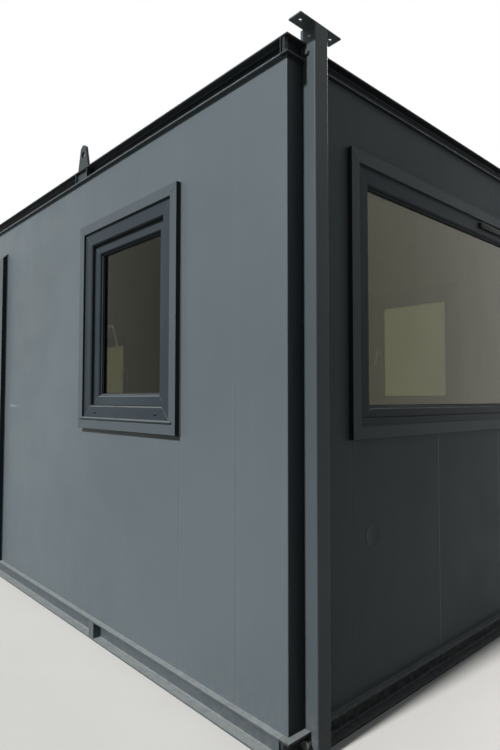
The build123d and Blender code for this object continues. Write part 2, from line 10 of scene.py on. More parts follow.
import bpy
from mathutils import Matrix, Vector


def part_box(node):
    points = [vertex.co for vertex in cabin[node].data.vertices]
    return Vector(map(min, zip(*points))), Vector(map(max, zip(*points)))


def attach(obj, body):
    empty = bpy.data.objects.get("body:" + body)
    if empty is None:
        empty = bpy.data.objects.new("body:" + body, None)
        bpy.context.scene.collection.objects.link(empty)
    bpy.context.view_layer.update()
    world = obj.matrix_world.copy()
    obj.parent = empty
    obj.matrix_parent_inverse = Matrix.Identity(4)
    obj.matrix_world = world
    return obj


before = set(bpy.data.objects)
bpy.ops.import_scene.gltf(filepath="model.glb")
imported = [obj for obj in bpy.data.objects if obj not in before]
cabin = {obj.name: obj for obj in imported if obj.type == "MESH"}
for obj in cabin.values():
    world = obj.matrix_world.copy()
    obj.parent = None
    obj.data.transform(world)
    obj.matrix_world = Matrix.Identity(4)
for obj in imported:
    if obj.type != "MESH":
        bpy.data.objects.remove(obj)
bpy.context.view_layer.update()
print("cabin pieces from the CAD model:", len(cabin))

# %% Tools from Blender
import math

import bmesh
import bpy
from mathutils import Matrix, Vector

scene = bpy.context.scene
scene.view_settings.view_transform = "Standard"

# %% [markdown]
# ## Where the viewer stands
# The viewer stands close to one corner, so the walls run away steeply to both sides. The place of the eye
# and the angles below were worked out from the edges of the cabin in the photograph. The lens is given by
# its focal length in pixels of a 500 by 750 picture, and Blender wants millimetres on a 36 mm sensor,
# which it lays along the longer side of the picture.

# %% Camera
picture_height = 750
focal_pixels = 555.52
sensor_size = 36.0
eye = Vector((5.0246, -2.7756, 1.2727))
turn = math.radians(137.56)
tilt = math.radians(2.46)
lean = math.radians(0.06)

ahead = Vector((math.cos(tilt) * math.cos(turn), math.cos(tilt) * math.sin(turn), math.sin(tilt)))
level_right = ahead.cross(Vector((0, 0, 1))).normalized()
level_up = level_right.cross(ahead)
right = level_right * math.cos(lean) + level_up * math.sin(lean)
up = level_up * math.cos(lean) - level_right * math.sin(lean)

camera_data = bpy.data.cameras.new("viewer")
camera_data.sensor_width = sensor_size
camera_data.lens = focal_pixels * sensor_size / picture_height
camera = bpy.data.objects.new("viewer", camera_data)
camera.matrix_world = Matrix.Translation(eye) @ Matrix((right, up, -ahead)).transposed().to_4x4()
scene.collection.objects.link(camera)
scene.camera = camera
print("lens in mm:", round(camera_data.lens, 2))

# %% [markdown]
# ## Wiring a material
# A finish is a small network of nodes. Written out in full it takes many lines, so these helpers each add
# one kind of node and hand back its output. A value may be a plain number or the output of another node.
# One finish is wired at a time, and the helpers add their nodes to its tree until the next one is begun.


# %% Helpers for material nodes
def plug(socket, value):
    if isinstance(value, bpy.types.NodeSocket):
        tree.links.new(value, socket)
    else:
        socket.default_value = value


def add_node(kind, values=None, **settings):
    made = tree.nodes.new(kind)
    for name, setting in settings.items():
        setattr(made, name, setting)
    for name, value in (values or {}).items():
        plug(made.inputs[name], value)
    return made


def maths(operation, first, second=0.0):
    return add_node("ShaderNodeMath", {0: first, 1: second}, operation=operation).outputs[0]


def times(first, *others):
    for other in others:
        first = maths("MULTIPLY", first, other)
    return first


def gap(first, second):
    return maths("ABSOLUTE", maths("SUBTRACT", first, second))


def above(value, limit):
    return maths("GREATER_THAN", value, limit)


def below(value, limit):
    return maths("LESS_THAN", value, limit)


def ramp(value, low, high, start=0.0, end=1.0):
    """Start at or below low, end at or above high, and an even curve between them."""
    limits = {"Value": value, "From Min": low, "From Max": high, "To Min": start, "To Max": end}
    return add_node("ShaderNodeMapRange", limits, interpolation_type="SMOOTHSTEP").outputs[0]


def mix_colours(share, first, second):
    values = {0: share, 6: first, 7: second}
    return add_node("ShaderNodeMix", values, data_type="RGBA").outputs[2]


# %% Helpers for places and patterns
def place():
    """Position on the cabin in metres. It is the same for every piece, so a pattern runs on across joins."""
    return add_node("ShaderNodeTexCoord").outputs["Object"]


def facing():
    return add_node("ShaderNodeTexCoord").outputs["Normal"]


def along(vector, axis):
    return add_node("ShaderNodeSeparateXYZ", {0: vector}).outputs[axis]


def stretched(vector, scale):
    return add_node("ShaderNodeMapping", {"Vector": vector, "Scale": scale}).outputs[0]


def cloud(vector, scale, detail=3.0):
    values = {"Vector": vector, "Scale": scale, "Detail": detail}
    return add_node("ShaderNodeTexNoise", values).outputs[0]


# %% Helpers for a whole material
def colour(red, green, blue):
    """A colour as a paint program gives it, 0 to 255, turned into the linear values that Blender uses."""
    return tuple(((part / 255 + 0.055) / 1.055) ** 2.4 for part in (red, green, blue)) + (1.0,)


def shaded(paint, amount):
    return tuple(part * amount for part in paint[:3]) + (1.0,)


def new_material(name):
    global tree
    made = bpy.data.materials.new(name)
    made.use_nodes = True
    tree = made.node_tree
    print("finish:", name)
    return made, tree.nodes["Principled BSDF"]


def soft_corner(radius):
    return add_node("ShaderNodeBevel", {"Radius": radius}, samples=4).outputs[0]


def edge_share(radius):
    """Near 1 along an edge and 0 on a flat face."""
    flat = add_node("ShaderNodeNewGeometry").outputs["Normal"]
    values = {0: soft_corner(radius), 1: flat}
    likeness = add_node("ShaderNodeVectorMath", values, operation="DOT_PRODUCT").outputs["Value"]
    return ramp(likeness, 0.8, 0.99, 1.0, 0.0)


def bumped(height, corner):
    """Height is in metres, and every corner is softened as a brush or a press leaves it."""
    values = {"Height": height, "Distance": 1.0, "Normal": soft_corner(corner)}
    return add_node("ShaderNodeBump", values).outputs[0]


def surface(shader, shade, roughness, height, corner):
    """The colour, the roughness and the fine relief, which every finish sets."""
    plug(shader.inputs["Base Color"], shade)
    plug(shader.inputs["Roughness"], roughness)
    plug(shader.inputs["Normal"], bumped(height, corner))


def show_mix(output, share, first, second):
    layers = {0: share, 1: first.outputs[0], 2: second.outputs[0]}
    mix = add_node("ShaderNodeMixShader", layers)
    tree.links.new(mix.outputs[0], tree.nodes[output].inputs["Surface"])


# %% [markdown]
# ## Light and floor
# One lamp stands high in front of the long wall. It shows that wall bright and the end wall in shade, as
# in the photograph. A weaker, much wider one behind keeps the other sides readable. Sun lamps light all
# seven metres evenly. The room is white to the camera, in mirrors and through glass, but lights the cabin
# far less, so the paint keeps its depth. The floor does the same: it looks pale, and throws only a little
# light upwards.

# %% Lamps
def sun(name, towards, strength, width):
    data = bpy.data.lights.new(name, "SUN")
    data.energy = strength
    data.angle = math.radians(width)
    lamp = bpy.data.objects.new(name, data)
    lamp.rotation_euler = Vector(towards).to_track_quat("-Z", "Y").to_euler()
    scene.collection.objects.link(lamp)
    print(name, "has strength", strength)


sun("key_lamp", towards=(0.03, 1.0, -0.86), strength=3.7, width=5)
sun("back_lamp", towards=(0.2, -0.8, -0.5), strength=2.3, width=30)

# %% Room around the cabin
room_light = 0.12


def seen_share():
    """1 for what is seen straight, in a mirror or through glass, and 0 for light that falls on things."""
    ray = add_node("ShaderNodeLightPath")
    seen = maths("MAXIMUM", ray.outputs["Is Camera Ray"], ray.outputs["Is Glossy Ray"])
    return maths("MAXIMUM", seen, ray.outputs["Is Transmission Ray"])


world = bpy.data.worlds.new("studio")
world.use_nodes = True
scene.world = world
tree = world.node_tree
soft_light = add_node("ShaderNodeBackground", {"Color": (0.9, 0.97, 1.0, 1.0), "Strength": room_light})
white_room = add_node("ShaderNodeBackground", {"Color": (1, 1, 1, 1), "Strength": 1.0})
show_mix("World Output", seen_share(), soft_light, white_room)
print("light of the room on the cabin:", room_light)

# %% Floor
floor_radius = 60.0
floor_below_cabin = 0.001
fade_start = 7.0
fade_end = 22.0
floor_shape = bmesh.new()
bmesh.ops.create_circle(floor_shape, cap_ends=True, segments=96, radius=floor_radius)
bmesh.ops.translate(floor_shape, verts=floor_shape.verts, vec=(0, 0, -floor_below_cabin))
floor_mesh = bpy.data.meshes.new("studio_floor")
floor_shape.to_mesh(floor_mesh)
floor_shape.free()
studio_floor = bpy.data.objects.new("studio_floor", floor_mesh)
scene.collection.objects.link(studio_floor)

floor_finish, shader = new_material("studio_floor")
shader.inputs["Roughness"].default_value = 0.9
shader.inputs["Specular IOR Level"].default_value = 0.0
grain = ramp(cloud(place(), 3.0, 5.0), 0.3, 0.7)
pale_floor = mix_colours(grain, colour(221, 219, 215), colour(223, 221, 217))
floor_seen = seen_share()
plug(shader.inputs["Base Color"], mix_colours(floor_seen, colour(104, 101, 94), pale_floor))
distance = add_node("ShaderNodeVectorMath", {0: place()}, operation="LENGTH").outputs["Value"]
horizon = add_node("ShaderNodeEmission", {"Color": (1, 1, 1, 1), "Strength": 1.0})
far_floor = times(ramp(distance, fade_start, fade_end), floor_seen)
show_mix("Material Output", far_floor, shader, horizon)
floor_mesh.materials.append(floor_finish)
print("floor radius in metres:", floor_radius)

# %% [markdown]
# ## Paint on steel
# The cabin is sprayed all over with one anthracite paint. Up close that paint is never one grey. Soft
# clouds come from the thickness of the coat, long faint streaks from rain, dust lies on every ledge,
# splashed mud marks the lowest part, and corners are rubbed. Each of these is a layer here. All the
# painted pieces share one recipe and only take their own amounts of it, which keeps them one family.

# %% Colours of dirt and wear
# The dust colour also paints a highlight on the ledges of the window plastic.
road_dust_and_highlight = colour(166, 170, 169)
mud_splash = colour(124, 121, 115)
rust_brown = colour(104, 62, 38)
# The rubbed grey also paints a highlight along the edges of the rails.
rubbed_grey = colour(158, 165, 168)
splash_height = 0.45
rub_width = 0.003
peel_depth = 0.0001
dirt_depth = 0.0006


# %% Recipe for painted steel
def weathered(base, dust=0.5, splash=0.3, rubbed=0.2, rust=0.0):
    """Colour of a painted surface with its wear, and how dirty each spot is from 0 to 1."""
    spot = place()
    height = along(spot, 2)
    coat = ramp(cloud(spot, 0.9, 5.0), 0.3, 0.7)
    shade = mix_colours(coat, shaded(base, 0.93), shaded(base, 1.06))
    rain = cloud(stretched(spot, (15, 15, 0.5)), 1.0, 4.0)
    shade = mix_colours(ramp(rain, 0.52, 0.78, 0.0, 0.12), shade, shaded(base, 1.3))
    # Rubbed edges are real wear, and where they are set strong they are also a painted highlight.
    if rubbed:
        worn = ramp(cloud(spot, 26), 0.45, 0.66)
        rubs_and_glints = times(edge_share(rub_width), worn, rubbed)
        shade = mix_colours(rubs_and_glints, shade, rubbed_grey)
    if rust:
        freckles = ramp(cloud(spot, 55, 5.0), 0.6, 0.7)
        patches = ramp(cloud(spot, 3.1, 3.0), 0.5, 0.7)
        shade = mix_colours(times(freckles, patches, rust), shade, rust_brown)
    patchy = ramp(cloud(spot, 38.0, 6.0), 0.2, 0.6, 0.6, 1.0)
    ledge = ramp(along(facing(), 2), 0.55, 0.95)
    low = ramp(height, 0.0, splash_height, 1.0, 0.0)
    splashes = times(low, low, ramp(cloud(spot, 34, 6.0), 0.42, 0.66), splash)
    settled = times(ledge, patchy, dust)
    shade = mix_colours(splashes, shade, mud_splash)
    shade = mix_colours(settled, shade, road_dust_and_highlight)
    return shade, maths("MAXIMUM", splashes, settled)


# %% Sheen and skin of the paint
def finish_paint(shader, shade, dirt, sheen, corner=0.0015, extra_height=None, shine=0.12):
    spot = place()
    cloudy = ramp(cloud(spot, 5.0, 4.0), 0.3, 0.7, sheen - 0.05, sheen + 0.06)
    roughness = maths("ADD", cloudy, times(dirt, 0.3))
    shader.inputs["Specular IOR Level"].default_value = shine
    peel = times(cloud(spot, 420.0, 2.0), peel_depth)
    height = maths("ADD", peel, times(dirt, cloud(spot, 240.0, 4.0), dirt_depth))
    if extra_height is not None:
        height = maths("ADD", height, extra_height)
    surface(shader, shade, roughness, height, corner)


def steel_paint(name, base, sheen=0.42, corner=0.0015, **wear):
    made, shader = new_material(name)
    shade, dirt = weathered(base, **wear)
    finish_paint(shader, shade, dirt, sheen, corner)
    return made


anthracite = colour(99, 109, 114)
leg_finish = steel_paint("leg_paint", colour(84, 93, 97), 0.4, 0.002, rust=0.4, rubbed=0.35)
door_finish = steel_paint("door_paint", anthracite, 0.38, 0.002, rubbed=0.2)
roof_finish = steel_paint("roof_paint", colour(120, 126, 128), 0.5, 0.002, dust=0.5, splash=0.0, rubbed=0.15)

# %% [markdown]
# ## Channels with painted shade inside
# The rails of the floor and roof are channels with their open side out. The hollow of a channel is
# painted much darker than its flanges, as painted shade, and a painted shadow line runs under the upper
# flange of the floor rail. The faces of the roof ring above its lower flange take painted shade too. The
# web lies further in than the flanges do, so one test of how far a spot lies from the middle, and one of
# its height, tells the material where the hollow is. The narrow sides of the window and door surrounds
# are painted as dark, as painted shade.

# %% Frame rails with painted shade in the hollow
middle_y = (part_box("back_wall")[1].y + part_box("front_wall_right")[0].y) / 2
wall_half_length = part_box("end_wall_right")[1].x
wall_half_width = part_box("back_wall")[1].y - middle_y
roof_rail_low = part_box("roof_rail_front")[0].z
web_set_in = 0.0155
roof_flange = 0.0065
floor_flange_under = 0.0915
deep_shade = colour(16, 19, 22)


def from_middle(spot, axis, middle=0.0):
    return gap(along(spot, axis), middle)


def within(value, low, high, edge):
    """1 between low and high, fading to 0 over the width of an edge inside each."""
    return times(ramp(value, low, low + edge), ramp(value, high - edge, high, 1.0, 0.0))


frame_finish, shader = new_material("frame_paint")
spot = place()
# The strong rubbed edges of the rails are partly a painted highlight along the flange edges.
shade, dirt = weathered(colour(90, 99, 104), dust=0.65, rust=0.3, rubbed=0.8)
# Painted shade: the hollow of each rail, a line under the upper flange of the floor rail and the faces of
# the roof ring above its lower flange are mixed towards deep_shade.
set_in = times(
    below(from_middle(spot, 0), wall_half_length - web_set_in),
    below(from_middle(spot, 1, middle_y), wall_half_width - web_set_in),
)
height = along(spot, 2)
over_flange = above(height, roof_rail_low + roof_flange)
roof_painted_shade = times(set_in, over_flange)
painted_shade_on_ring = times(over_flange, below(along(facing(), 2), 0.5), 0.62)
roof_painted_shade = maths("MAXIMUM", roof_painted_shade, painted_shade_on_ring)
floor_painted_shade = times(set_in, ramp(height, 0.02, floor_flange_under, 0.08, 0.3))
floor_painted_shade = times(floor_painted_shade, below(height, floor_flange_under))
painted_shade_under_flange = times(set_in, within(height, 0.076, 0.1, 0.006), 0.6)
floor_painted_shade = maths("MAXIMUM", floor_painted_shade, painted_shade_under_flange)
painted_shade_in_hollows = maths("MAXIMUM", times(roof_painted_shade, 0.96), floor_painted_shade)
shade = mix_colours(painted_shade_in_hollows, shade, deep_shade)
finish_paint(shader, shade, dirt, 0.42, 0.002)
# The end rails take a darker copy of the rail paint, which is painted shade.
shaded_end_rail_finish = steel_paint("end_rail_painted_shade", colour(48, 54, 58), 0.42, 0.002, dust=0.5, rubbed=0.8)
print("web of the rails lies", round(web_set_in * 1000, 1), "mm inside the wall face")

# %% Surrounds with painted shade on their sides
surround_finish, shader = new_material("surround_paint")
spot = place()
shade, dirt = weathered(colour(88, 97, 102), dust=0.35, rubbed=0.2)
# Painted shade: the narrow return sides of each surround are mixed towards near black.
on_end = above(from_middle(spot, 0), wall_half_length - 0.05)
sideways = [maths("ABSOLUTE", along(facing(), axis)) for axis in (0, 1)]
on_side = maths("SUBTRACT", 1.0, on_end)
painted_shade_on_returns = maths("ADD", times(sideways[0], on_side), times(sideways[1], on_end))
shade = mix_colours(ramp(painted_shade_on_returns, 0.75, 0.98, 0.0, 0.8), shade, colour(20, 26, 31))
finish_paint(shader, shade, dirt, 0.4, 0.0012, shine=0.06)

# %% [markdown]
# ## Walls with two faces
# A wall is steel sheet outside and white board inside, but the CAD model has it as one solid. One
# material can still show both, because it can ask where on the cabin a spot lies: anything up to 5 mm
# behind the face that one sees in the room is board. The joints between sheets are narrow grooves,
# flushed with filler and painted over, so they show as faint upright lines. On the end wall the inner
# joints are pale and the outer ones dark. The strip of each corner post that faces its leg is painted
# near black, as painted shade between post and leg. The joints repeat to both sides of the middle, so
# the material only needs one list of distances from there.

# %% Sheet joints and board face
board_depth = 0.005
board_half_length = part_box("ceiling_lining")[1].x + board_depth
board_half_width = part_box("ceiling_lining")[1].y - middle_y + board_depth
far_away = 9.0
long_wall_joints = (0.0, 0.62, 1.24, 2.005, 2.509, 2.992, 3.374)
end_wall_joints = (0.326, 1.001)


def repeating_joint(spot, axis, first, pitch, half_width):
    """1 on the middle of each joint and 0 beyond half_width from it."""
    steps = maths("DIVIDE", maths("SUBTRACT", along(spot, axis), first), pitch)
    off = gap(steps, maths("ROUND", steps))
    return ramp(times(off, pitch), 0.0, half_width, 1.0, 0.0)


def nearest_joint(outwards, joints):
    nearest = far_away
    for joint in joints:
        nearest = maths("MINIMUM", nearest, gap(outwards, joint))
    return nearest


def inside_share(spot):
    lengthways = below(from_middle(spot, 0), board_half_length)
    crossways = below(from_middle(spot, 1, middle_y), board_half_width)
    return times(lengthways, crossways)


# %% Wall finishes
board_white = colour(206, 206, 200)
board_seam_pitch = 1.2
seam_half_width = 0.003
groove_half_width = 0.0035
groove_depth = 0.0008
filler_half_width = 0.04
scuff_along = (0.84, 1.12)
scuff_height = (1.208, 1.236)


def scuff_share(spot):
    """A pale rub on the front wall, beside the door at the height of a hand."""
    scuff = times(
        within(along(spot, 0), *scuff_along, 0.09),
        within(along(spot, 2), *scuff_height, 0.01),
    )
    broken = ramp(cloud(stretched(spot, (9, 9, 90)), 1.0, 4.0), 0.38, 0.6)
    return times(scuff, broken, below(along(spot, 1), middle_y), 0.5)


def wall_material(name, axis, middle, joints, line_shade, line_share, dark_from, shine):
    """Joints up to dark_from take line_shade, and those further from the middle are dark."""
    made, shader = new_material(name)
    spot = place()
    shade, dirt = weathered(anthracite, rubbed=0.0)
    outwards = from_middle(spot, axis, middle)
    off_joint = nearest_joint(outwards, joints)
    groove = ramp(off_joint, 0.0, groove_half_width, 1.0, 0.0)
    filled = ramp(off_joint, 0.0, filler_half_width, 1.0, 0.0)
    strength = ramp(cloud(stretched(spot, (3, 3, 1.1)), 1.0, 2.0), 0.35, 0.6, 0.25, 1.0)
    strength = times(strength, ramp(along(spot, 2), 1.0, 1.6, 1.0, 0.2))
    far_out = ramp(outwards, dark_from, dark_from + 0.1)
    line = mix_colours(far_out, shaded(anthracite, line_shade), shaded(anthracite, 0.35))
    shade = mix_colours(times(groove, strength, line_share), shade, line)
    shade = mix_colours(times(filled, 0.05), shade, shaded(anthracite, 1.6))
    if axis == 0:
        shade = mix_colours(scuff_share(spot), shade, rubbed_grey)
    inside = inside_share(spot)
    board = mix_colours(cloud(spot, 2.5, 4.0), shaded(board_white, 0.94), board_white)
    board_joint = repeating_joint(spot, axis, 0.0, board_seam_pitch, seam_half_width)
    board = mix_colours(board_joint, board, shaded(board_white, 0.6))
    shade = mix_colours(inside, shade, board)
    waves = times(cloud(stretched(spot, (1.6, 1.6, 0.9)), 1.0, 2.0), 0.005)
    height = maths("SUBTRACT", waves, times(groove, strength, groove_depth))
    finish_paint(shader, shade, dirt, 0.42, 0.0006, height, shine)
    return made


long_wall_finish = wall_material(
    "wall_paint_long",
    axis=0,
    middle=0.0,
    joints=long_wall_joints,
    line_shade=0.35,
    line_share=0.5,
    dark_from=far_away,
    shine=0.12,
)
end_wall_finish = wall_material(
    "wall_paint_end",
    axis=1,
    middle=middle_y,
    joints=end_wall_joints,
    line_shade=2.6,
    line_share=0.75,
    dark_from=0.6,
    shine=0.03,
)

# %% Corner posts with painted shade beside the legs
post_finish, shader = new_material("wall_paint_post")
shade, dirt = weathered(anthracite, rubbed=0.0)
# Painted shade: the sides of each post that face along the cabin are mixed towards near black.
painted_shade_beside_leg = ramp(maths("ABSOLUTE", along(facing(), 0)), 0.6, 0.95, 0.0, 0.93)
shade = mix_colours(painted_shade_beside_leg, shade, colour(24, 31, 36))
finish_paint(shader, shade, dirt, 0.42, 0.0012)

# %% [markdown]
# ## Bare metal, plastic, board and glass
# The joists and purlins are zinc coated, and zinc grows in crystals that catch the light one by one,
# which a cell pattern gives. Pins and hinges are plain bright steel that has begun to dull. The window
# frames are grey plastic with a fine moulded grain, and their upward ledges are paler, partly dust and
# partly a painted highlight. Each opening sash is one CAD piece with its lever, and the lever is satin
# metal, so the material asks how deep in the wall a spot lies. Glass is a real solid that bends light,
# but lamps pass straight through it, because it would otherwise leave the room behind it black. The
# small panes look into a dark room, and their olive tint is partly painted shade that darkens it. The
# big end pane mirrors the brightness outside, so it bends light more. All panes tint what they mirror
# yellow, as a painted reflection.

# %% Zinc and steel finishes
crystal_depth = 0.00006
brush_depth = 0.00004


def zinc_finish(name, base, dull=0.35):
    made, shader = new_material(name)
    spot = place()
    cells = add_node("ShaderNodeTexVoronoi", {"Vector": spot, "Scale": 55.0})
    tone = along(cells.outputs["Color"], 0)
    shade = mix_colours(tone, shaded(base, 0.72), shaded(base, 1.12))
    stain = ramp(cloud(spot, 9.0, 5.0), 0.5, 0.72, 0.0, 0.45)
    shade = mix_colours(stain, shade, colour(120, 118, 112))
    shader.inputs["Metallic"].default_value = 0.8
    roughness = ramp(tone, 0.0, 1.0, dull, dull + 0.2)
    surface(shader, shade, roughness, times(tone, crystal_depth), 0.001)
    return made


def bright_steel(name, base, sheen, rust, painted_above=far_away):
    made, shader = new_material(name)
    spot = place()
    brushed = cloud(stretched(spot, (40, 40, 900)), 1.0, 3.0)
    shade = mix_colours(brushed, shaded(base, 0.85), shaded(base, 1.08))
    tarnish = ramp(cloud(spot, 70.0, 5.0), 0.55, 0.75, 0.0, rust)
    shade = mix_colours(tarnish, shade, rust_brown)
    painted = above(along(spot, 2), painted_above)
    shade = mix_colours(painted, shade, colour(70, 78, 82))
    bare = maths("SUBTRACT", 1.0, painted)
    plug(shader.inputs["Metallic"], times(maths("SUBTRACT", 0.95, tarnish), bare))
    roughness = ramp(brushed, 0.3, 0.7, sheen, sheen + 0.15)
    surface(shader, shade, roughness, times(brushed, brush_depth), 0.0008)
    return made


joist_finish = zinc_finish("joist_steel", colour(168, 172, 174))
pin_finish = bright_steel("pin_steel", colour(120, 121, 120), 0.4, 0.6, painted_above=1.0)
hinge_finish = bright_steel("hinge_steel", colour(150, 153, 155), 0.32, 0.25)
handle_finish = bright_steel("handle_metal", colour(186, 188, 189), 0.24, 0.0)


# %% Plastic and rubber finishes
plastic_shine = 0.06
plastic_corner = 0.0015
frame_grain_depth = 0.00008


def moulded(name, base, sheen, grain_size, grain_depth, dust):
    made, shader = new_material(name)
    spot = place()
    tone = ramp(cloud(spot, 2.3, 4.0), 0.3, 0.7)
    shade = mix_colours(tone, shaded(base, 0.93), shaded(base, 1.06))
    ledge = ramp(along(facing(), 2), 0.5, 0.95)
    # Up-facing ledges turn paler, partly dust and partly a painted highlight.
    ledge_dust_and_highlight = times(ramp(cloud(spot, 12.0, 5.0), 0.15, 0.5), ledge, dust)
    shade = mix_colours(ledge_dust_and_highlight, shade, road_dust_and_highlight)
    grain = cloud(spot, grain_size, 3.0)
    roughness = ramp(grain, 0.3, 0.7, sheen - 0.05, sheen + 0.08)
    shader.inputs["Specular IOR Level"].default_value = plastic_shine
    surface(shader, shade, roughness, times(grain, grain_depth), plastic_corner)
    return made


frame_plastic = moulded("window_plastic", colour(56, 64, 70), 0.4, 260.0, frame_grain_depth, 0.6)
rubber = moulded("black_rubber", colour(26, 27, 28), 0.55, 500.0, 0.00012, 0.3)
black_plastic = moulded("black_plastic", colour(30, 32, 35), 0.4, 300.0, 0.00006, 0.4)
white_plastic = moulded("white_plastic", colour(214, 213, 207), 0.3, 200.0, 0.00004, 0.1)
sealant = moulded("joint_sealant", colour(80, 88, 92), 0.5, 180.0, 0.0002, 0.2)
corner_line = moulded("mitre_line", colour(112, 121, 125), 0.35, 300.0, 0.00004, 0.2)

# %% Sash plastic with a satin lever behind it
sash_back = 0.0554
sash_plastic, shader = new_material("sash_plastic")
spot = place()
tone = ramp(cloud(spot, 2.3, 4.0), 0.3, 0.7)
shade = mix_colours(tone, colour(54, 62, 68), colour(60, 69, 75))
# Up-facing ledges of the sashes turn paler, partly dust and partly a painted highlight.
sash_ledge_dust_and_highlight = ramp(along(facing(), 2), 0.5, 0.95, 0.0, 0.55)
shade = mix_colours(sash_ledge_dust_and_highlight, shade, road_dust_and_highlight)
on_lever = below(from_middle(spot, 1, middle_y), wall_half_width - sash_back)
shade = mix_colours(on_lever, shade, colour(242, 242, 238))
plug(shader.inputs["Metallic"], times(on_lever, 0.95))
shader.inputs["Specular IOR Level"].default_value = plastic_shine
grain = cloud(spot, 260.0, 3.0)
matt = ramp(grain, 0.3, 0.7, 0.34, 0.48)
roughness = maths("SUBTRACT", matt, times(on_lever, 0.25))
surface(shader, shade, roughness, times(grain, frame_grain_depth), plastic_corner)

# %% Ply floor and white board
ply_width = 1.22
floor_sheet, shader = new_material("floor_ply")
spot = place()
fibre = cloud(stretched(spot, (3, 60, 60)), 1.0, 6.0)
veneer = mix_colours(fibre, colour(128, 103, 76), colour(166, 140, 106))
sheet_joint = repeating_joint(spot, 0, ply_width / 2, ply_width, seam_half_width)
veneer = mix_colours(sheet_joint, veneer, colour(52, 42, 32))
trodden = ramp(cloud(spot, 1.6, 5.0), 0.4, 0.7, 0.0, 0.35)
veneer = mix_colours(trodden, veneer, colour(110, 100, 88))
surface(shader, veneer, ramp(fibre, 0.3, 0.7, 0.45, 0.65), times(fibre, 0.0003), 0.001)

board_sheet, shader = new_material("lining_board")
spot = place()
board_tone = mix_colours(cloud(spot, 2.5, 4.0), shaded(board_white, 0.95), board_white)
ceiling_joint = repeating_joint(spot, 0, 0.0, board_seam_pitch, seam_half_width)
board_tone = mix_colours(ceiling_joint, board_tone, shaded(board_white, 0.6))
surface(shader, board_tone, 0.55, times(cloud(spot, 300.0), 0.0001), 0.001)

# %% Window glass
# A painted reflection: the panes tint what they mirror yellow.
painted_reflection_tint = (1.0, 0.98, 0.62, 1.0)
clear_tint = (0.93, 0.93, 0.9, 1.0)


def glass_finish(name, tint_and_room_shade, smeared_tint_and_room_shade, bending):
    made, shader = new_material(name)
    smear = ramp(cloud(stretched(place(), (5, 5, 2)), 1.0, 5.0), 0.35, 0.75)
    plug(shader.inputs["Base Color"], mix_colours(smear, tint_and_room_shade, smeared_tint_and_room_shade))
    plug(shader.inputs["Roughness"], times(smear, 0.012))
    shader.inputs["Transmission Weight"].default_value = 1.0
    shader.inputs["IOR"].default_value = bending
    shader.inputs["Specular Tint"].default_value = painted_reflection_tint
    clear = add_node("ShaderNodeBsdfTransparent", {"Color": clear_tint})
    ray = add_node("ShaderNodeLightPath")
    passes = maths("MAXIMUM", ray.outputs["Is Shadow Ray"], ray.outputs["Is Diffuse Ray"])
    show_mix("Material Output", passes, shader, clear)
    return made


# The olive tints darken the room behind the panes, partly as painted shade.
small_pane = glass_finish("window_glass", colour(128, 130, 104), colour(118, 120, 94), 1.19)
end_pane = glass_finish("end_window_glass", colour(142, 143, 120), colour(130, 132, 108), 1.4)

# %% Give every CAD piece its finish
finish_of_slot = {
    "wall_paint": long_wall_finish,
    "frame_paint": frame_finish,
    "leg_paint": leg_finish,
    "surround_paint": surround_finish,
    "door_paint": door_finish,
    "roof_paint": roof_finish,
    "joist_steel": joist_finish,
    "pin_steel": pin_finish,
    "hinge_steel": hinge_finish,
    "handle_metal": handle_finish,
    "floor_ply": floor_sheet,
    "lining_board": board_sheet,
    "window_plastic": frame_plastic,
    "window_glass": small_pane,
}
special_finish = {
    "end_wall_right": end_wall_finish,
    "end_wall_left": end_wall_finish,
    "corner_posts": post_finish,
    "roof_rail_end_right": shaded_end_rail_finish,
    "roof_rail_end_left": shaded_end_rail_finish,
    "base_rail_end_right": shaded_end_rail_finish,
    "base_rail_end_left": shaded_end_rail_finish,
    "front_window_sashes": sash_plastic,
    "back_window_sashes": sash_plastic,
    "end_window_glass": end_pane,
}
for name, piece in cabin.items():
    for slot in piece.material_slots:
        slot.material = special_finish.get(name, finish_of_slot[slot.material.name])
used_finishes = set(finish_of_slot.values()) | set(special_finish.values())
print("finishes on the cabin:", len(used_finishes))

# %% [markdown]
# ## Looking square on to a wall
# Most fittings sit on one of the four walls, and the same fitting comes again on the next wall. So each
# one is drawn as a fitter sees it when standing outside in front of the wall: across to the right, up,
# and out towards the fitter. A matrix for each wall then carries the drawing to its place on the cabin.
# The corners of a window are read from the CAD pieces themselves, so the fittings follow the model when
# it changes.

# %% Four walls and what is on them
upward = Vector((0, 0, 1))
wall_reach = 0.3


def wall_view(rightward, corner):
    outward = rightward.cross(upward)
    return Matrix.Translation(corner) @ Matrix((rightward, upward, outward)).transposed().to_4x4()


front_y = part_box("front_wall_right")[0].y
back_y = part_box("back_wall")[1].y
front_view = wall_view(Vector((1, 0, 0)), Vector((0, front_y, 0)))
back_view = wall_view(Vector((-1, 0, 0)), Vector((0, back_y, 0)))
right_view = wall_view(Vector((0, 1, 0)), Vector((wall_half_length, 0, 0)))
left_view = wall_view(Vector((0, -1, 0)), Vector((-wall_half_length, 0, 0)))


def seen_box(node, view, side=0):
    """Lowest and highest corner of a CAD piece on a wall. Side 1 or -1 takes only that half of the wall."""
    to_view = view.inverted() @ cabin[node].matrix_world
    spots = [to_view @ vertex.co for vertex in cabin[node].data.vertices]
    spots = [spot for spot in spots if spot.z > -wall_reach and spot.x * side >= 0]
    low = Vector([min(spot[axis] for spot in spots) for axis in range(3)])
    high = Vector([max(spot[axis] for spot in spots) for axis in range(3)])
    return low, high


def grown(box, margin):
    spare = Vector((margin, margin, 0))
    return box[0] - spare, box[1] + spare


def moved(view, across, height, out):
    return view @ Matrix.Translation(Vector((across, height, out)))


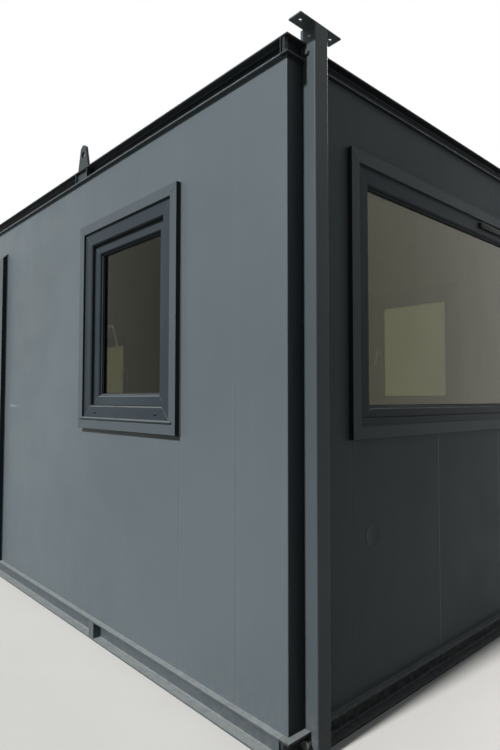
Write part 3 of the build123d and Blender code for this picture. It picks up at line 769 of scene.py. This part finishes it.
small_windows = [
    (view, side, prefix)
    for view, prefix in ((front_view, "front_window_"), (back_view, "back_window_"))
    for side in (1, -1)
]
end_windows = [(right_view, 0, "end_window_"), (left_view, 0, "end_window_")]
windows = small_windows + end_windows
print("windows:", len(windows), "front wall at y =", round(front_y, 4))

# %% [markdown]
# ## A small workshop
# Five tools make nearly every fitting. A bar is sawn and its edges are broken. A ring is one profile run
# round a rectangle with mitred corners, as seals, trims and beads are. A turned piece is an outline spun
# on a lathe. A tube follows a row of points, and where its thickness pulses along the way it becomes a
# weld bead.

# %% Bars and rings
def bar(shape, view, low, high, broken_edge=0.001):
    low, high = Vector(low), Vector(high)
    size = high - low
    made = bmesh.ops.create_cube(shape, size=1.0)["verts"]
    to_size = Matrix.Diagonal((size.x, size.y, size.z, 1.0))
    bmesh.ops.transform(shape, matrix=view @ Matrix.Translation((low + high) / 2) @ to_size, verts=made)
    edges = list(dict.fromkeys(edge for corner in made for edge in corner.link_edges))
    bmesh.ops.bevel(shape, geom=edges, offset=broken_edge, segments=2, profile=0.6, affect="EDGES")


def corners_of(box):
    """Each corner of a rectangle, with the signs of the way from there to its middle."""
    low, high = box
    lower = ((low.x, low.y, 1, 1), (high.x, low.y, -1, 1))
    upper = ((high.x, high.y, -1, -1), (low.x, high.y, 1, -1))
    return lower + upper


def ring(shape, view, box, profile):
    """Each profile point is how far it lies inside the rectangle, and how far out of the wall."""
    loops = []
    for across, height, inwards, upwards in corners_of(box):
        spots = [(across + inwards * inset, height + upwards * inset, out) for inset, out in profile]
        loops.append([shape.verts.new(view @ Vector(spot)) for spot in spots])
    join_loops(shape, loops, closed=True)


def join_loops(shape, loops, closed=False):
    pairs = list(zip(loops, loops[1:]))
    if closed:
        pairs.append((loops[-1], loops[0]))
    for here, there in pairs:
        for step in range(len(here)):
            after = (step + 1) % len(here)
            shape.faces.new((here[step], there[step], there[after], here[after]))
    if not closed:
        shape.faces.new(loops[0])
        shape.faces.new(loops[-1])


# %% Turned pieces, tubes and weld beads
def turned(shape, view, outline, sides=20, turn_by=0.0):
    """Outline gives radius and height in turn, spun round the line that points out of the wall."""
    angles = [turn_by + 2 * math.pi * step / sides for step in range(sides)]
    loops = []
    for radius, height in outline:
        spots = [(radius * math.cos(angle), radius * math.sin(angle), height) for angle in angles]
        loops.append([shape.verts.new(view @ Vector(spot)) for spot in spots])
    join_loops(shape, loops)


def tube(shape, points, radii, sides=8):
    points = [Vector(point) for point in points]
    heading = (points[1] - points[0]).normalized()
    beside = heading.orthogonal().normalized()
    loops = []
    for step, point in enumerate(points):
        before = points[max(step - 1, 0)]
        after = points[min(step + 1, len(points) - 1)]
        heading = (after - before).normalized()
        beside = (beside - heading * beside.dot(heading)).normalized()
        third = heading.cross(beside)
        loop = []
        for side in range(sides):
            angle = 2 * math.pi * side / sides
            offset = beside * math.cos(angle) + third * math.sin(angle)
            loop.append(shape.verts.new(point + offset * radii[step]))
        loops.append(loop)
    join_loops(shape, loops)


def weld_bead(shape, start, end, size=0.003):
    """A hand-laid bead. The torch pauses every few millimetres, and each pause leaves a small swelling."""
    start, end = Vector(start), Vector(end)
    steps = max(4, int((end - start).length / (size * 0.8)))
    points = [start.lerp(end, step / steps) for step in range(steps + 1)]
    radii = []
    for step in range(steps + 1):
        ripple = 0.14 * math.cos(step * 1.9) + 0.05 * math.sin(step * 0.7)
        radii.append(size * (0.86 + ripple))
    radii[0] = radii[-1] = size * 0.45
    tube(shape, points, radii)


# %% Finish a fitting and bolt it on
fittings = []


def fitted(name, shape, finish, body="cabin", crease=35):
    bmesh.ops.recalc_face_normals(shape, faces=shape.faces)
    mesh = bpy.data.meshes.new(name)
    shape.to_mesh(mesh)
    shape.free()
    mesh.polygons.foreach_set("use_smooth", [True] * len(mesh.polygons))
    mesh.set_sharp_from_angle(angle=math.radians(crease))
    mesh.materials.append(finish)
    piece = bpy.data.objects.new(name, mesh)
    scene.collection.objects.link(piece)
    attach(piece, body)
    fittings.append(piece)
    print(name, "has", len(mesh.polygons), "faces")
    return piece


# %% [markdown]
# ## Seals round the glass
# A factory window holds its glass between two rubber strips, one outside and one inside, pressed in with
# a roller. From outside, the strip shows as a dark line a few millimetres wide with a rounded lip on the
# pane. The opening windows have a second seal, where the sash closes into its frame. Both kinds are one
# profile run round a rectangle, so a ring fits them exactly.

# %% Glazing gaskets and sash seals
millimetre = 0.001
glass_bite = 5 * millimetre


def in_metres(profile, start=0.0, sign=1):
    """Profile drawn in millimetres, laid outwards or, with sign -1, inwards from a start in metres."""
    return [(inset * millimetre, start + sign * out * millimetre) for inset, out in profile]


gasket_lip = ((-0.4, 0.0), (-0.4, 2.6), (1.2, 3.2), (3.2, 2.4), (4.6, 0.4), (4.6, 0.0))
gaskets = bmesh.new()
for view, side, prefix in windows:
    pane = seen_box(prefix + "glass", view, side)
    visible = grown(pane, -glass_bite)
    ring(gaskets, view, visible, in_metres(gasket_lip, pane[1].z))
    ring(gaskets, view, visible, in_metres(gasket_lip, pane[0].z, -1))
fitted("glazing_gaskets", gaskets, rubber, crease=50)

seal_lip = ((0.0, 0.0), (0.0, 2.0), (1.5, 2.8), (3.5, 2.0), (4.5, 0.0))
sash_front = -0.005
sash_seals = bmesh.new()
for view, side, prefix in small_windows:
    sash = seen_box(prefix + "sashes", view, side)
    ring(sash_seals, view, sash, in_metres(seal_lip, sash_front))
fitted("sash_seals", sash_seals, rubber, crease=50)

# %% [markdown]
# ## Mitred corners
# Plastic frames are cut at 45 degrees and melted together, and the machine that trims the melt leaves a
# fine pale line across each corner. On the pressed steel surrounds it is a dressed weld, a little wider
# and painted over. Each is a very flat ridge from the outer corner to the inner one.

# %% Corner lines of frames, sashes and surrounds
frame_face_width = 0.074
sash_face_width = 0.053
surround_face_width = 0.051
plastic_bevel = 0.006
bead_outside_glass = 0.003
frame_front = 0.017
surround_front = 0.028
line_end_gap = 0.0008
line_root = 0.0003
plastic_line = (0.003, 0.0006)
steel_line = (0.006, 0.0007)


def frame_outline(view, side, prefix):
    """Outer edge of a window's plastic frame, which is found from its sash or from its fixed pane."""
    if prefix == "end_window_":
        return grown(seen_box(prefix + "glass", view, side), bead_outside_glass + frame_face_width)
    return grown(seen_box(prefix + "sashes", view, side), frame_face_width)


def mitre_lines(shape, view, box, face_width, out, line_width, rise):
    half = line_width * 0.7071 / 2
    for across, height, inwards, upwards in corners_of(box):
        loops = []
        for depth in (line_end_gap, face_width - line_end_gap):
            middle = Vector((across + inwards * depth, height + upwards * depth, out))
            aside = Vector((inwards * half, -upwards * half, 0))
            section = (middle - aside, middle + upward * rise, middle + aside, middle - upward * line_root)
            loops.append([shape.verts.new(view @ spot) for spot in section])
        join_loops(shape, loops)


frame_corners = bmesh.new()
surround_corners = bmesh.new()
for view, side, prefix in windows:
    outline = frame_outline(view, side, prefix)
    mitre_lines(frame_corners, view, outline, frame_face_width - plastic_bevel, frame_front, *plastic_line)
    if side:
        sash = seen_box(prefix + "sashes", view, side)
        mitre_lines(frame_corners, view, sash, sash_face_width - plastic_bevel, sash_front, *plastic_line)
    surround = seen_box(prefix + "surrounds", view, side)
    mitre_lines(surround_corners, view, surround, surround_face_width, surround_front, *steel_line)
fitted("frame_corner_lines", frame_corners, corner_line)
fitted("surround_corner_welds", surround_corners, surround_finish)

# %% [markdown]
# ## Sealant
# A bead of paintable sealant closes the gap between each surround and the wall sheet, laid from a gun and
# smoothed with a finger, so it is a small hollow fillet. It runs round every window, and up, over and
# down round the doorway.

# %% Fillets of sealant
fillet_size = 0.005
bead_radius = 0.0035
bead_out = 0.001
fillet_profile = ((0.0, 0.0), (0.0, 1.0), (-0.3, 0.55), (-0.62, 0.24), (-1.05, 0.0))
fillet_profile = [(inset * fillet_size, out * fillet_size) for inset, out in fillet_profile]
sealant_beads = bmesh.new()
for view, side, prefix in windows:
    surround = seen_box(prefix + "surrounds", view, side)
    ring(sealant_beads, view, surround, fillet_profile)
doorway = seen_box("door_surround", front_view)
foot = doorway[0].y + 0.002
left, right_side = doorway[0].x, doorway[1].x
head = doorway[1].y
route = ((left, foot), (left, head), (right_side, head), (right_side, foot))
route = [front_view @ Vector((across, height, bead_out)) for across, height in route]
tube(sealant_beads, route, [bead_radius] * 4, 10)
fitted("sealant_fillets", sealant_beads, sealant, crease=50)

# %% [markdown]
# ## Drain covers, vents and levers
# Rain that gets past the outer seal runs out of the frame through slots in its foot, and each slot has a
# dark oval cover so the wind can't blow in. The end windows don't open, so they have a black vent along
# their head, with a rounded hood and a row of fine slits in its underside. Inside, each opening window
# has a lever with a lock button on its plate.

# %% Oval covers
def oval(shape, view, centre, length, height, rise, lip=0.0015):
    """Flat-bottomed oval with a rounded lip, drawn lying along the wall."""
    radius = height / 2
    straight = length / 2 - radius
    loops = []
    for inset, out in ((0.0, 0.0), (0.0, rise - lip), (lip * 0.35, rise - lip * 0.3), (lip * 1.4, rise)):
        spots = []
        for step in range(24):
            angle = -math.pi / 2 + 2 * math.pi * (step + 0.5) / 24
            middle = straight if math.cos(angle) > 0 else -straight
            reach = radius - inset
            spots.append((middle + reach * math.cos(angle), reach * math.sin(angle), out))
        loops.append([shape.verts.new(view @ (centre + Vector(spot))) for spot in spots])
    join_loops(shape, loops)


drain_covers = bmesh.new()
drain_size = (0.028, 0.009, 0.0035)
drain_from_middle = 0.30
drain_above_foot = 0.036
on_frame = frame_front - 0.0005
for view, side, prefix in small_windows:
    low, high = frame_outline(view, side, prefix)
    middle = (low.x + high.x) / 2
    for offset in (-drain_from_middle, drain_from_middle):
        spot = Vector((middle + offset, low.y + drain_above_foot, on_frame))
        oval(drain_covers, view, spot, *drain_size)
fitted("drain_covers", drain_covers, black_plastic)

# %% Vents of the end windows
vents = bmesh.new()
vent_screws = bmesh.new()
vent_length = 0.402
vent_height = 0.032
vent_rise = 0.0135
vent_from_middle = 0.300
vent_under_head = 0.026
slit_pitch = 0.026
slit_size = Vector((0.020, 0.0022, 0.0011))
screw_from_end = 0.016
vent_screw = ((0.0036, 0.0), (0.0036, 0.0006), (0.0026, 0.0012), (0.0006, 0.0014))
for view, side, prefix in end_windows:
    low, high = frame_outline(view, side, prefix)
    middle = (low.x + high.x) / 2
    centre = Vector((middle + vent_from_middle, high.y - vent_under_head, on_frame))
    oval(vents, view, centre, vent_length, vent_height, vent_rise, 0.004)
    for slit in range(-6, 7):
        start = centre + Vector((slit * slit_pitch - slit_size.x / 2, -0.0105, vent_rise - 0.0006))
        bar(vents, view, start, start + slit_size, 0.0004)
    for end in (-1, 1):
        across = centre.x + end * (vent_length / 2 - screw_from_end)
        screw_spot = moved(view, across, centre.y + 0.002, centre.z + vent_rise - 0.0003)
        turned(vent_screws, screw_spot, vent_screw, 16)
fitted("window_vents", vents, black_plastic)
fitted("vent_screws", vent_screws, black_plastic)

# %% Lock buttons of the window levers
lever_buttons = bmesh.new()
facing_in = Matrix.Rotation(math.pi, 4, "Y")
lever_from_middle = 0.3245
plate_screw_offset = 0.025
plate_back = -0.0598
neck_back = -0.1048
plate_screw = ((0.0035, 0.0), (0.0035, 0.001), (0.0021, 0.0016))
lock_button = ((0.0062, 0.0), (0.0062, 0.003), (0.0052, 0.0042), (0.001, 0.0044))
for view, side, prefix in small_windows:
    low, high = seen_box(prefix + "sashes", view, side)
    across = (low.x + high.x) / 2 - side * lever_from_middle
    height = (low.y + high.y) / 2
    for offset in (plate_screw_offset, -plate_screw_offset):
        screw_spot = moved(view, across, height + offset, plate_back)
        turned(lever_buttons, screw_spot @ facing_in, plate_screw, 16)
    turned(lever_buttons, moved(view, across, height, neck_back) @ facing_in, lock_button, 20)
fitted("window_lever_buttons", lever_buttons, handle_finish)

# %% [markdown]
# ## Welds, bolts and clips of the jack legs
# The legs are square tubes that lift the cabin off a lorry, and the photograph shows their flat top
# plates with a bolt hole at each end. A plate like that is welded on across the tube, so a bead lies in
# each corner under it. Where a leg crosses the roof ring, a hexagon bolt holds it, with a washer at the
# leg and a nut at its far end. The pin at the foot carries a sprung clip, so it can be pulled by hand.

# %% Corners of the legs
legs = ("jack_leg_front_right", "jack_leg_front_left", "jack_leg_back_right", "jack_leg_back_left")
leg_size = 0.075
plate_thickness = 0.006
corner_radius = 0.006
leg_spots = []
for name in legs:
    low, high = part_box(name)
    end = 1 if low.x > 0 else -1
    leg_spots.append((Vector(((low.x + high.x) / 2, (low.y + high.y) / 2, 0)), end, high.z))
print("legs stand at", [tuple(round(part, 3) for part in spot) for spot, end, top in leg_spots])

# %% Weld beads of the top plates
plate_welds = bmesh.new()
bead_start = 0.018
cross_bead_set_in = 0.015
for spot, end, top in leg_spots:
    under = top - plate_thickness
    inner = spot.x - end * (leg_size / 2 - bead_start)
    outer = spot.x + end * (leg_size / 2 - corner_radius)
    for side in (-1, 1):
        edge = spot.y + side * leg_size / 2
        weld_bead(plate_welds, (inner, edge, under), (outer, edge, under), 0.0034)
    across = spot.x - end * (leg_size / 2 - cross_bead_set_in)
    reach = leg_size / 2 - 0.008
    weld_bead(plate_welds, (across, spot.y - reach, under), (across, spot.y + reach, under), 0.0030)
fitted("leg_plate_welds", plate_welds, leg_finish, crease=60)

# %% Washers, nuts and clips
bolt_height = 2.565
pin_height = 0.058
hexagon = 0.0095 / math.cos(math.pi / 6)
washer = ((0.0125, 0.0001), (0.0125, 0.0018), (0.0115, 0.0024), (0.007, 0.0024))
nut = ((hexagon, 0.0024), (hexagon, 0.0080), (hexagon * 0.9, 0.0092), (0.0066, 0.0092))
washers = bmesh.new()
for spot, end, top in leg_spots:
    outward = 1 if spot.y > middle_y else -1
    for side in (-1, 1):
        face = Vector((spot.x, spot.y + side * leg_size / 2, bolt_height))
        out_of_leg = Vector((0, side, 0)).to_track_quat("Z", "X").to_matrix().to_4x4()
        view = Matrix.Translation(face) @ out_of_leg
        turned(washers, view, washer, 28)
        if side != outward:
            turned(washers, view, nut, 6, math.pi / 6)
fitted("leg_bolt_washers", washers, pin_finish, crease=25)

clips = bmesh.new()
clip_off_leg = 0.014
clip_radius = 0.0135
wire_radius = 0.0019
for spot, end, top in leg_spots:
    inward = -1 if spot.y > middle_y else 1
    depth = spot.y + inward * (leg_size / 2 + clip_off_leg)
    points = [(spot.x, depth, pin_height + 0.034), (spot.x + end * 0.002, depth, pin_height + 0.021)]
    for step in range(22):
        angle = math.pi * (0.16 + 1.68 * step / 21)
        along_x = spot.x + clip_radius * math.sin(angle) * end
        points.append((along_x, depth, pin_height + clip_radius * math.cos(angle)))
    tube(clips, points, [wire_radius] * len(points))
fitted("leg_pin_clips", clips, pin_finish, crease=50)

# %% [markdown]
# ## Welds of the lifting lugs and stiffeners
# A lug carries a quarter of the cabin, so its plate goes through the top of the roof channel and is
# welded on both faces. The stub columns in the floor rail are welded to both its flanges, along both
# sides of each column. Welds are what an inspector looks at first on such a cabin, and they catch the
# light as fine ripples.

# %% Beads at the lugs
rail_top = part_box("roof_rail_front")[1].z
lug_welds = bmesh.new()
lug_half_width = 0.062
lug_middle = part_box("lifting_lugs")[1].x - 0.073
plate_faces = (front_y - 0.003, front_y + 0.012)
for end in (-1, 1):
    for mirrored in (False, True):
        for face in plate_faces:
            across = 2 * middle_y - face if mirrored else face
            start = (end * (lug_middle - lug_half_width), across, rail_top)
            finish = (end * (lug_middle + lug_half_width), across, rail_top)
            weld_bead(lug_welds, start, finish, 0.0032)
fitted("lug_welds", lug_welds, frame_finish, crease=60)

# %% Beads at the floor stiffeners
stiffener_welds = bmesh.new()
stiffener_half_width = 0.026
stiffener_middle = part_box("base_stiffeners")[1].x - stiffener_half_width
flange_faces = (0.0105, 0.0895)
for end in (-1, 1):
    for view in (front_view, back_view):
        for offset in (-stiffener_half_width, stiffener_half_width):
            across = end * stiffener_middle + offset
            for height in flange_faces:
                start = view @ Vector((across, height, -0.004))
                finish = view @ Vector((across, height, 0.020))
                weld_bead(stiffener_welds, start, finish, 0.0024)
fitted("stiffener_welds", stiffener_welds, frame_finish, crease=60)

# %% [markdown]
# ## The door
# A steel site door shuts on a rubber seal, hangs on three lift-off hinges with screwed plates, and has a
# lever on a long plate with a keyhole below it. A sloped bar along its foot throws rain clear of the
# step, and the step itself wears a ribbed metal tread. What is screwed to the leaf swings with it, and
# what is screwed to the frame stays.

# %% Door seal and step
leaf_low, leaf_high = seen_box("door_leaf", front_view)
hinge_gap = 0.005
closing_gap = 0.008
clear_low = Vector((leaf_low.x - hinge_gap, leaf_low.y - closing_gap, 0))
clear_high = Vector((leaf_high.x + closing_gap, leaf_high.y + closing_gap, 0))
stop_face = leaf_low.z - 0.005
door_seal = bmesh.new()
seal_profile = ((1.0, -0.3), (1.0, 2.4), (3.0, 3.8), (7.5, 3.8), (11.0, 2.2), (12.5, -0.3))
ring(door_seal, front_view, (clear_low, clear_high), in_metres(seal_profile, stop_face))
fitted("door_seal", door_seal, rubber, crease=50)

tread = bmesh.new()
tread_top = clear_low.y + 0.0022
tread_depth = (stop_face - 0.038, leaf_high.z - 0.002)
tread_span = (clear_low.x + 0.017, clear_high.x - 0.017)
rib_pitch = 0.0088
low = (tread_span[0], clear_low.y - 0.0002, tread_depth[0])
bar(tread, front_view, low, (tread_span[1], tread_top, tread_depth[1]), 0.0006)
for rib in range(9):
    out = tread_depth[0] + 0.008 + rib * rib_pitch
    low = (tread_span[0] + 0.004, tread_top - 0.0003, out)
    high = (tread_span[1] - 0.004, tread_top + 0.0014, out + 0.0034)
    bar(tread, front_view, low, high, 0.0005)
fitted("door_step_tread", tread, handle_finish)

# %% Drip bar of the leaf
drip_bar = bmesh.new()
drip_back = ((0.0, 0.0), (0.0, 0.034), (0.004, 0.034))
drip_nose = ((0.018, 0.008), (0.018, 0.003), (0.014, 0.003), (0.012, 0.006))
drip_foot = leaf_low.y + 0.008
on_leaf = leaf_high.z - 0.0002
loops = []
for across in (leaf_low.x + 0.012, leaf_high.x - 0.010):
    spots = [Vector((across, drip_foot + height, on_leaf + out)) for out, height in drip_back + drip_nose]
    loops.append([drip_bar.verts.new(front_view @ spot) for spot in spots])
join_loops(drip_bar, loops)
fitted("door_drip_bar", drip_bar, door_finish, "door", 30)

# %% Screws of hinges and plates
screw_head = ((0.0042, 0.0), (0.0042, 0.0005), (0.0034, 0.0012), (0.0018, 0.0015), (0.0006, 0.0007))
hinge_from_end = 0.205
hinge_heights = (
    leaf_low.y + hinge_from_end,
    (leaf_low.y + leaf_high.y) / 2,
    leaf_high.y - hinge_from_end,
)
screw_from_edge = 0.023
frame_screws = bmesh.new()
leaf_screws = bmesh.new()
on_hinge = leaf_high.z + 0.005 - 0.0001
for height in hinge_heights:
    for offset in (0.010, 0.035):
        fixed = moved(front_view, clear_low.x - screw_from_edge, height - offset, on_hinge)
        moving = moved(front_view, leaf_low.x + screw_from_edge, height + 0.001 + offset, on_hinge)
        turned(frame_screws, fixed, screw_head, 14)
        turned(leaf_screws, moving, screw_head, 14)
handle_x = leaf_high.x - 0.060
handle_height = 1.120
handle_screw_offset = 0.098
outer_face = leaf_high.z + 0.008
inner_face = leaf_low.z - 0.008
facing_out = Matrix.Identity(4)
for offset in (-handle_screw_offset, handle_screw_offset):
    for out, turn_round in ((outer_face - 0.0001, facing_out), (inner_face + 0.0001, facing_in)):
        spot = moved(front_view, handle_x, handle_height + offset, out)
        turned(leaf_screws, spot @ turn_round, screw_head, 14)
fitted("hinge_frame_screws", frame_screws, hinge_finish, crease=25)
fitted("door_screws", leaf_screws, hinge_finish, "door", 25)

# %% Lock cylinder and rose
lock = bmesh.new()
rose = ((0.0165, 0.0), (0.0165, 0.0022), (0.0150, 0.0038), (0.0125, 0.0042), (0.0118, 0.0030))
barrel = ((0.0085, 0.0), (0.0085, 0.0105), (0.0078, 0.0115), (0.0012, 0.0115))
lock_below_lever = 0.066
for out, turn_round in ((outer_face - 0.0002, facing_out), (inner_face + 0.0002, facing_in)):
    lever_spot = moved(front_view, handle_x, handle_height, out) @ turn_round
    lock_spot = moved(front_view, handle_x, handle_height - lock_below_lever, out) @ turn_round
    turned(lock, lever_spot, rose, 28)
    turned(lock, lock_spot, barrel, 24)
    key_slot = moved(lock_spot, 0, 0, 0.0114)
    bar(lock, key_slot, (-0.0011, -0.0048, 0.0), (0.0011, 0.0048, 0.0009), 0.0002)
    bar(lock, lock_spot, (-0.0048, -0.0260, 0.0), (0.0048, -0.0040, 0.0100), 0.0016)
fitted("door_lock", lock, handle_finish, "door", 35)

# %% [markdown]
# ## Roof screws and seams
# Nobody sees the roof from the ground. The sheets are fixed through the purlins with hexagon screws on
# domed washers, in rows across the roof, and the edge of the sheet is bedded in sealant all along the ring.

# %% Screws over the purlins
roof_low, roof_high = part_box("roof_sheet")
ridge_rise = 0.030
seam_rise = 0.018
eaves_top = roof_high.z - ridge_rise - seam_rise + 0.0015
half_span = (roof_high.y - roof_low.y) / 2
slope = math.atan2(ridge_rise, half_span)
plan_view = Matrix.Identity(4)
roof_screws = bmesh.new()
screw_pitch = 0.27
off_ridge = 0.06
purlin_pitch = 0.6
seam_pitch = 1.016
domed_washer = ((0.0095, 0.0), (0.0095, 0.0010), (0.0070, 0.0024), (0.0056, 0.0026))
screw_hexagon = ((0.0050, 0.0024), (0.0050, 0.0066), (0.0042, 0.0072))
purlins = [step * purlin_pitch for step in range(-5, 6)]
seams = [(step - 3) * seam_pitch for step in range(7)]
for across in purlins:
    near_seam = min(abs(across - seam) for seam in seams)
    for step in range(-4, 5):
        from_ridge = step * screw_pitch + (off_ridge if step >= 0 else -off_ridge)
        if abs(from_ridge) > half_span - 0.08 or near_seam < 0.03:
            continue
        top = eaves_top + ridge_rise * (1 - abs(from_ridge) / half_span)
        tipped = Matrix.Rotation(-slope if from_ridge > 0 else slope, 4, "X")
        spot = moved(plan_view, across, middle_y + from_ridge, top - 0.0006) @ tipped
        turned(roof_screws, spot, domed_washer, 14)
        turned(roof_screws, spot, screw_hexagon, 6)
fitted("roof_screws", roof_screws, roof_finish, crease=25)

# %% Sealant along the edge of the roof
roof_sealant = bmesh.new()
edge_inset = 0.006
point_spacing = 0.1451


def uneven(count, pace):
    return [0.0045 + 0.0004 * math.sin(step * pace) for step in range(count)]


for end in (-1, 1):
    across = end * (roof_high.x - edge_inset)
    points = []
    for step in range(-12, 13):
        from_ridge = step / 12 * (half_span - edge_inset)
        top = eaves_top + ridge_rise * (1 - abs(from_ridge) / half_span)
        points.append((across, middle_y + from_ridge, top))
    tube(roof_sealant, points, uneven(len(points), 1.3))
for side in (-1, 1):
    y = middle_y + side * (half_span - edge_inset)
    start = -roof_high.x + edge_inset
    points = [(start + step * point_spacing, y, eaves_top + 0.0005) for step in range(51)]
    tube(roof_sealant, points, uneven(len(points), 2.1))
fitted("roof_edge_sealant", roof_sealant, sealant, crease=60)

# %% [markdown]
# ## Inside the room
# Through the glass one sees a plain lined room. White boards meet under narrow joint strips, a skirting
# board hides the gap at the floor, a slim cove closes the corner at the ceiling, and each window has a
# flat white trim round its opening. They are all long mouldings, cut to length, so bars and rings make
# them.

# %% Trims round the windows
board_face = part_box("ceiling_lining")[1].x
wall_depth = wall_half_length - board_face
trim_profile = ((-45, 0.3), (-45, -9), (-40, -12), (4, -12), (9, -8), (9, 4.2), (0.5, 4.2), (0.5, 0.3))
trims = bmesh.new()
for view, side, prefix in windows:
    ring(trims, view, frame_outline(view, side, prefix), in_metres(trim_profile, -wall_depth))
fitted("window_trims", trims, white_plastic, crease=30)

# %% Skirting and ceiling cove
floor_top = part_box("floor_deck")[1].z
ceiling_low, ceiling_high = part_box("ceiling_lining")
ceiling_under = ceiling_low.z
room_low = Vector((-board_face, ceiling_low.y, 0))
room_high = Vector((board_face, ceiling_high.y, 0))
door_frame_width = 0.045
mouldings = bmesh.new()
cove_profile = ((0, 0), (0, -32), (4, -30), (30, -4), (32, 0))
ring(mouldings, plan_view, (room_low, room_high), in_metres(cove_profile, ceiling_under))
board = ((0.0, 0.0), (0.0, 0.070), (0.006, 0.070), (0.012, 0.060), (0.012, 0.0))
skirting_runs = (
    ((room_low.x, room_low.y), (clear_low.x - door_frame_width, room_low.y), (0, 1)),
    ((clear_high.x + door_frame_width, room_low.y), (room_high.x, room_low.y), (0, 1)),
    ((room_low.x, room_high.y), (room_high.x, room_high.y), (0, -1)),
    ((room_low.x, room_low.y), (room_low.x, room_high.y), (1, 0)),
    ((room_high.x, room_low.y), (room_high.x, room_high.y), (-1, 0)),
)
for start, end, inwards in skirting_runs:
    loops = []
    for corner in (start, end):
        spots = [
            Vector((corner[0] + inwards[0] * depth, corner[1] + inwards[1] * depth, floor_top + height))
            for depth, height in board
        ]
        loops.append([mouldings.verts.new(spot) for spot in spots])
    join_loops(mouldings, loops)
fitted("skirting_and_cove", mouldings, white_plastic, crease=30)

# %% Joint strips of the boards
strips = bmesh.new()
strip_half = 0.018
strip_rise = 0.003
strip_sink = 0.0002
strip_low = floor_top + 0.070
strip_high = ceiling_under - 0.030
cove_width = 0.033
strip_runs = (
    (front_view, (-1, 1), strip_low, strip_high, -wall_depth),
    (back_view, (-1, 0, 1), strip_low, strip_high, -wall_depth),
    (plan_view, (-2, -1, 0, 1, 2), room_low.y + cove_width, room_high.y - cove_width, ceiling_under),
)
for view, seams, start, end, face in strip_runs:
    for seam in seams:
        across = seam * board_seam_pitch
        low = (across - strip_half, start, face - strip_rise)
        bar(strips, view, low, (across + strip_half, end, face + strip_sink), 0.0012)
fitted("board_strips", strips, white_plastic, crease=30)

# %% [markdown]
# ## The blanked pipe hole
# Low on the right end wall the photograph shows a faint round mark, the size of a waste pipe. It is a
# hole that was closed with a pressed disc and painted over, so here it is a thin dished cap with a rolled
# rim.

# %% Cap on the end wall
cap = bmesh.new()
cap_radius = 0.050
cap_across = -0.837
cap_height = 0.712
cap_outline = ((1.0, 0.0), (1.0, 0.0011), (0.96, 0.0018), (0.92, 0.0011), (0.88, 0.0005), (0.2, 0.0006))
cap_outline = [(share * cap_radius, rise) for share, rise in cap_outline]
turned(cap, moved(right_view, cap_across, cap_height, -0.0001), cap_outline, 40)
fitted("pipe_hole_cap", cap, end_wall_finish, crease=40)
print("fittings made:", len(fittings))

# %% [markdown]
